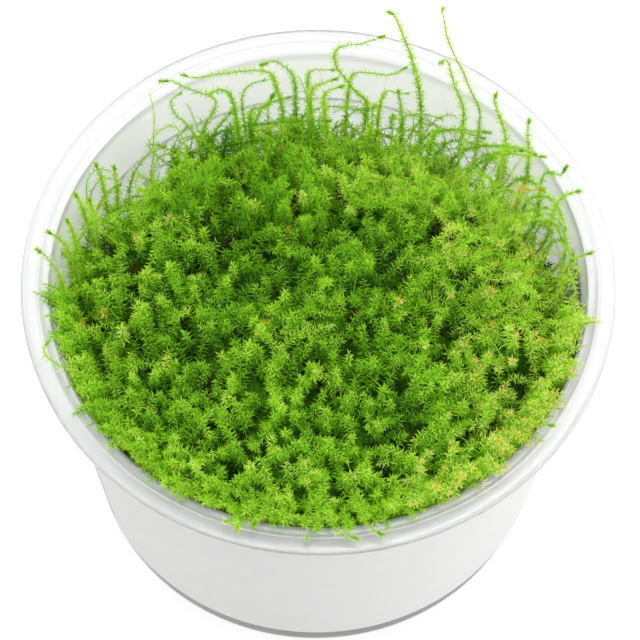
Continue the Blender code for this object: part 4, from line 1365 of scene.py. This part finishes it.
# How the long shoots look: tone, then leaf length and spacing, spacing of the hairs and length of the bud,
# in mm.
Look = namedtuple("Look", "tone leaf spacing hairs bud")
BRIGHT = Look(0.84, 1.05, 0.11, 0.35, 1.0)
GREEN = Look(0.77, 1.05, 0.10, 0.4, 1.5)
THIN = Look(0.83, 0.95, 0.11, 0.4, 0.6)
PALE = Look(0.88, 0.90, 0.12, 0.4, 0.7)
YELLOW = Look(0.94, 1.1, 0.08, 0.0, 0.0)
LOOKS = {
    "shoot_left_hook": GREEN,
    "shoot_left_loop": THIN,
    "shoot_left_thread": THIN,
    "shoot_back_loop": THIN,
    "shoot_back_curl": GREEN,
    "shoot_back_bend": GREEN,
    "shoot_back_arch": THIN,
    "shoot_back_low": THIN,
    "shoot_back_front_bar": THIN,
    "shoot_right_hook": THIN,
    "shoot_right_arm": GREEN,
    "shoot_pale_tall": PALE,
    "shoot_right_wave": GREEN,
    "shoot_right_yellow": YELLOW,
}


# Each long shoot has a seed of its own, counted from these.
SPRIG_SEED, BRIM_SEED, ARCH_SEED = 100, 200, 300


def make_sprigs(grower):
    """The long shoots, each in place of its own solid, then the short ones and the arching ones."""
    for i, (name, points) in enumerate(SHOOTS.items()):
        look = LOOKS.get(name, BRIGHT)
        meshes = sprig_meshes(grower, name, rooted(from_rim(points)), look, SPRIG_SEED + i)
        grower.piece(name.replace("shoot", "sprig"), meshes, name)
    meshes = []
    for i, points in enumerate(BRIM_SHOOTS):
        meshes += sprig_meshes(grower, f"brim_{i}", rooted(from_rim(points)), BRIGHT, BRIM_SEED + i)
    for i, (tone, points) in enumerate(ARCHES):
        look = THIN._replace(tone=tone)
        meshes += sprig_meshes(grower, f"arch_{i}", rooted(from_rim(points)), look, ARCH_SEED + i)
    grower.piece("brim_sprigs", meshes, "moss_cushion")


# Tall shoots at the back: how far out they may stand, how deep they root, how far they lean to the sides
# and from front to back, and their two bends, each with how far up it is and how far back it stands.
PLUME_REACH, PLUME_DEPTH = 42.0 * MM, 6.0 * MM
PLUME_SIDEWAYS, PLUME_BACKWARDS = (-1, 1), (-1.2, 0.6)
PLUME_BENDS = ((0.4, 0.2), (0.8, 0.1))
PLUME_SIZES = (0.85, 1.15)


def plume_routes(count, seed, across, back, heights, tones, slant):
    """Tall shoots in part of the hollow at the back, which lies between these values of x and y in mm."""
    draw = random.Random(seed)
    routes = []
    for _ in range(count):
        x = draw.uniform(*across) * MM
        y = draw.uniform(*back) * MM
        height = draw.uniform(*heights) * MM
        lean = Vector((draw.uniform(*PLUME_SIDEWAYS), draw.uniform(*PLUME_BACKWARDS), 0.0)) * slant
        tone = draw.uniform(*tones)
        size = draw.uniform(*PLUME_SIZES)
        if math.hypot(x, y) > PLUME_REACH:
            continue
        base = ground(x, y)
        root = Vector((x, y, base - PLUME_DEPTH))
        tip = Vector((x, y, base + height)) + lean
        bends = [root.lerp(tip, share) - lean * back_share for share, back_share in PLUME_BENDS]
        routes.append((kept(root, *bends, tip), tone, size))
    return routes


# Shoots that lean to the back: where they grow in x and y, their lengths and how far their tips stand over
# the cushion, in mm, how far they lean sideways, backwards and up, and how deep they lie in a hollow.
LEANING_ACROSS, LEANING_BACK, LEANING_REACH = (-36, 20), (-22, 20), 40.0 * MM
LEANING_LENGTHS, LEANING_TIPS, LEANING_BEND = (8.0, 13.5), (0.5, 3.5), 0.8
LEAN_ASIDE, LEAN_BACK, LEAN_UP = 0.30, (0.35, 0.9), 0.8
LEANING_HOLLOW, LEANING_BENDS = 2.0 * MM, (0.35, 0.7)
LEANING_TONES, LEANING_SIZES = (0.56, 0.76), (0.9, 1.1)


def leaning_routes(count, seed):
    """Long feathery shoots in the middle and on the left, leaning to the back."""
    draw = random.Random(seed)
    routes = []
    for _ in range(count):
        x = draw.uniform(*LEANING_ACROSS) * MM
        y = draw.uniform(*LEANING_BACK) * MM
        way = Vector((draw.gauss(0.0, LEAN_ASIDE), draw.uniform(*LEAN_BACK), LEAN_UP)).normalized()
        length = draw.uniform(*LEANING_LENGTHS) * MM
        over = draw.uniform(*LEANING_TIPS) * MM
        tone = draw.uniform(*LEANING_TONES)
        size = draw.uniform(*LEANING_SIZES)
        tip = Vector((x, y, 0.0)) + way * length * 0.5
        if math.hypot(tip.x, tip.y) > LEANING_REACH:
            continue
        tip.z = ground(tip.x, tip.y) + over - LEANING_HOLLOW * hollow(tip.x, tip.y)
        root = tip - way * length
        bend = Vector((-way.y, way.x, 0.0)) * draw.uniform(-LEANING_BEND, LEANING_BEND) * MM
        bends = [root.lerp(tip, share) + bend for share in LEANING_BENDS]
        routes.append((kept(root, *bends, tip), tone, size))
    return routes


# Thin shoots: the arc in degrees and the radii in mm that they start on, how deep, and how long and how many
# their steps are. A step leads forwards, and up less and less, and each turns a little from the last.
THREAD_ARC, THREAD_RADII, THREAD_DEPTH = (-12, 168), (27, 40.5), 2.0 * MM
THREAD_STEP, THREAD_STEPS, THREAD_ALONG = 2.3, (5, 9), 0.8
THREAD_RISE, THREAD_DROOP, THREAD_BEND, THREAD_WOBBLE = (1.0, 2.0), (0.25, 0.5), 0.9, 0.3
THREAD_MARGIN = 1.2 * MM
THREAD_TONES, THREAD_SIZES = (-0.04, 0.08), (0.8, 1.1)


def thread_routes(count, seed):
    """Thin wandering shoots over the back and the right of the cushion."""
    draw = random.Random(seed)
    routes = []
    for _ in range(count):
        turn = math.radians(draw.uniform(*THREAD_ARC))
        r = draw.uniform(*THREAD_RADII) * MM
        place = Vector((*polar(r, turn), 0.0))
        place.z = ground(place.x, place.y) - THREAD_DEPTH
        heading = draw.uniform(0, math.tau)
        rise = draw.uniform(*THREAD_RISE)
        bend = draw.uniform(-THREAD_BEND, THREAD_BEND)
        droop = draw.uniform(*THREAD_DROOP)
        route = [place.copy()]
        for _ in range(draw.randint(*THREAD_STEPS)):
            way = Vector((*polar(1.0, heading), 0.0)) * THREAD_ALONG
            way.z = rise
            place = kept_inside(place + way * THREAD_STEP * MM, THREAD_MARGIN)
            route.append(place.copy())
            heading += bend + draw.uniform(-THREAD_WOBBLE, THREAD_WOBBLE)
            rise -= droop
        tone = min(tone_at(place.x, place.y) + draw.uniform(*THREAD_TONES), YOUNG_TONE)
        routes.append((route, tone, draw.uniform(*THREAD_SIZES)))
    return routes


# How the leaves of each kind of shoot in the cushion are set.
WALL_HABIT = {"leaf_spacing": 0.24 * MM, "leaf_width": 1.3, "root_shade": 0.1}
STRAND_HABIT = {"leaf_spacing": 0.07 * MM, "bare_root": 0.05, "root_shade": 0.05}
DARK_HABIT = {
    "leaf_length": 1.4 * MM,
    "spread": math.radians(82),
    "stem_radius": 0.14 * MM,
    "stem_tone": -0.15,
    "root_shade": 0.15,
}
BRIGHT_HABIT = {"leaf_spacing": 0.14 * MM, "spread": math.radians(80), "root_shade": 0.15}
THREAD_HABIT = {
    "leaf_length": 1.1 * MM,
    "leaf_spacing": 0.2 * MM,
    "spread": math.radians(68),
    "jitter": 0.5,
    "stem_radius": 0.13 * MM,
    "stem_tone": -0.03,
    "root_shade": 0.08,
}
LEANING_HABIT = {
    "leaf_length": 1.4 * MM,
    "leaf_spacing": 0.15 * MM,
    "spread": math.radians(84),
    "tip_spread": math.radians(50),
    "jitter": 0.3,
    "stem_tone": -0.1,
    "root_shade": 0.2,
}
# Tall shoots at the back: count, seed, x and y in mm, heights in mm, tones, and how far they lean.
DARK_PLUMES = (62, 37, (-27, 0), (12, 39), (7, 14), (0.52, 0.70), 2.0 * MM)
BRIGHT_PLUMES = (160, 53, (-12, 34), (16, 41), (5, 11.5), (0.76, 0.88), 4.0 * MM)
# The other shoots: count and seed.
CARPET, BRIM, AT_WALL = (1620, 5), (400, 43), (420, 83)
SPRAWL, THREADS, LEANING = (200, 23), (170, 71), (105, 19)
ODD_SEED = 61
# The cushion's sectors meet at these values of x and y.
SECTOR_FRONT, SECTOR_SIDE = -14 * MM, 12 * MM


def make_moss(grower):
    """The cushion's leafy shoots, in sectors that keep each mesh small."""
    sectors = (
        ("moss_front", lambda x, y: y < SECTOR_FRONT),
        ("moss_left", lambda x, y: y >= SECTOR_FRONT and x < -SECTOR_SIDE),
        ("moss_right", lambda x, y: y >= SECTOR_FRONT and x > SECTOR_SIDE),
        ("moss_middle", lambda x, y: y >= SECTOR_FRONT and abs(x) <= SECTOR_SIDE),
    )
    for name, wanted in sectors:
        grower.piece(name, [grower.mesh(name, carpet_routes(*CARPET, wanted))], "moss_cushion")
    edge = grower.mesh("edge", edge_routes(*BRIM), root_shade=0.25)
    at_wall = grower.mesh("at_wall", wall_routes(*AT_WALL), **WALL_HABIT)
    grower.piece("moss_edge", [edge, at_wall], "moss_cushion")
    runners = grower.mesh("runners", sprawl_routes(*SPRAWL), root_shade=0.1)
    odd = grower.mesh("odd_shoots", odd_routes(ODD_SEED), root_shade=0.1)
    strands = grower.mesh("strands", strand_routes(), **STRAND_HABIT)
    grower.piece("moss_runners", [runners, odd, strands], "moss_cushion")
    dark = grower.mesh("dark_plumes", plume_routes(*DARK_PLUMES), **DARK_HABIT)
    bright = grower.mesh("bright_plumes", plume_routes(*BRIGHT_PLUMES), **BRIGHT_HABIT)
    grower.piece("moss_plumes", [dark, bright], "moss_cushion")
    threads = grower.mesh("threads", thread_routes(*THREADS), **THREAD_HABIT)
    leaning = grower.mesh("leaning_plumes", leaning_routes(*LEANING), **LEANING_HABIT)
    grower.piece("moss_threads", [threads, leaning], "moss_cushion")


# Light, floor and camera.


# The floor: half its width, and how much it glows under the cup and around it. The weak glow under the cup is
# a painted shadow.
FLOOR_HALF = 1.5
FLOOR_GLOW_AND_PAINTED_SHADOW = (0.05, 0.86)
GLOW_STARTS = FOOT_WALL_RADIUS - 3 * MM
# Area lights in metres and watts: name, place, width and power. All of them point at the cup's middle.
LIGHTS = (
    ("key_light", (0.08, 0.12, 0.80), 0.22, 3.2),
    ("fill_light", (-0.32, 0.05, 0.60), 0.30, 1.0),
    ("side_light", (0.70, -0.10, 0.35), 0.35, 2.4),
    ("back_light", (0.25, 0.50, 0.55), 0.5, 1.2),
)
LIGHT_AIM = Vector((0.0, 0.0, 0.04))
SKY_STRENGTH = 0.9


def make_stage():
    """A white floor that glows softly around the cup, with a painted shadow under the cup where it hardly
    glows, a white sky and four area lights.
    """
    made, tree = new_material("white_floor")
    reach = add(tree, "ShaderNodeVectorMath", {0: own_place(tree)}, operation="LENGTH").outputs["Value"]
    # The glow is faint under the cup: a painted shadow.
    values = {
        "Base Color": ramp(tree, grain(tree, 3.0), [(0.3, (0.15, 0.15, 0.15)), (0.7, (0.17, 0.17, 0.17))]),
        "Roughness": 0.7,
        "Emission Color": (1.0, 1.0, 1.0, 1.0),
        "Emission Strength": between(tree, reach, *FLOOR_GLOW_AND_PAINTED_SHADOW, GLOW_STARTS, FOOT_WALL_RADIUS),
    }
    output(tree, principled(tree, values))
    half = FLOOR_HALF
    corners = [(-half, -half, 0.0), (half, -half, 0.0), (half, half, 0.0), (-half, half, 0.0)]
    floor = mesh_object("floor", corners, [(0, 1, 2, 3)], made)

    scene = bpy.context.scene
    world = bpy.data.worlds.new("soft_light")
    world.use_nodes = True
    world.node_tree.nodes["Background"].inputs["Color"].default_value = (1.0, 1.0, 1.0, 1.0)
    world.node_tree.nodes["Background"].inputs["Strength"].default_value = SKY_STRENGTH
    scene.world = world
    scene.view_settings.view_transform = "Standard"

    for name, place, size, power in LIGHTS:
        light = bpy.data.lights.new(name, "AREA")
        light.size = size
        light.energy = power
        lamp = linked(name, light)
        lamp.location = place
        lamp.rotation_euler = (LIGHT_AIM - lamp.location).to_track_quat("-Z", "Y").to_euler()


def make_camera():
    """The photograph's view: above the front, turned very slightly."""
    rim = Vector((0.0, 0.0, RIM_HEIGHT))
    place = rim + VIEW_DISTANCE * Vector((0.0, -math.cos(VIEW_ELEVATION), math.sin(VIEW_ELEVATION)))
    aim = rim + Vector((*VIEW_AIM, 0.0))
    camera = linked("camera", bpy.data.cameras.new("camera"))
    camera.data.lens = VIEW_LENS
    camera.data.sensor_width = VIEW_SENSOR
    camera.data.clip_start = VIEW_NEAREST
    turn = (aim - place).to_track_quat("-Z", "Y").to_matrix().to_4x4()
    roll = Vector((0.0, 0.0, 1.0))
    camera.matrix_world = Matrix.Translation(place) @ turn @ Matrix.Rotation(VIEW_ROLL, 4, roll)
    bpy.context.scene.camera = camera


def main():
    make_stage()
    make_camera()
    make_cup(plastic_material())
    make_label(paper_material())
    make_gel(gel_material())
    make_bed(bed_material())
    grower = Grower(moss_material())
    make_moss(grower)
    make_sprigs(grower)
    grower.put_away()


main()
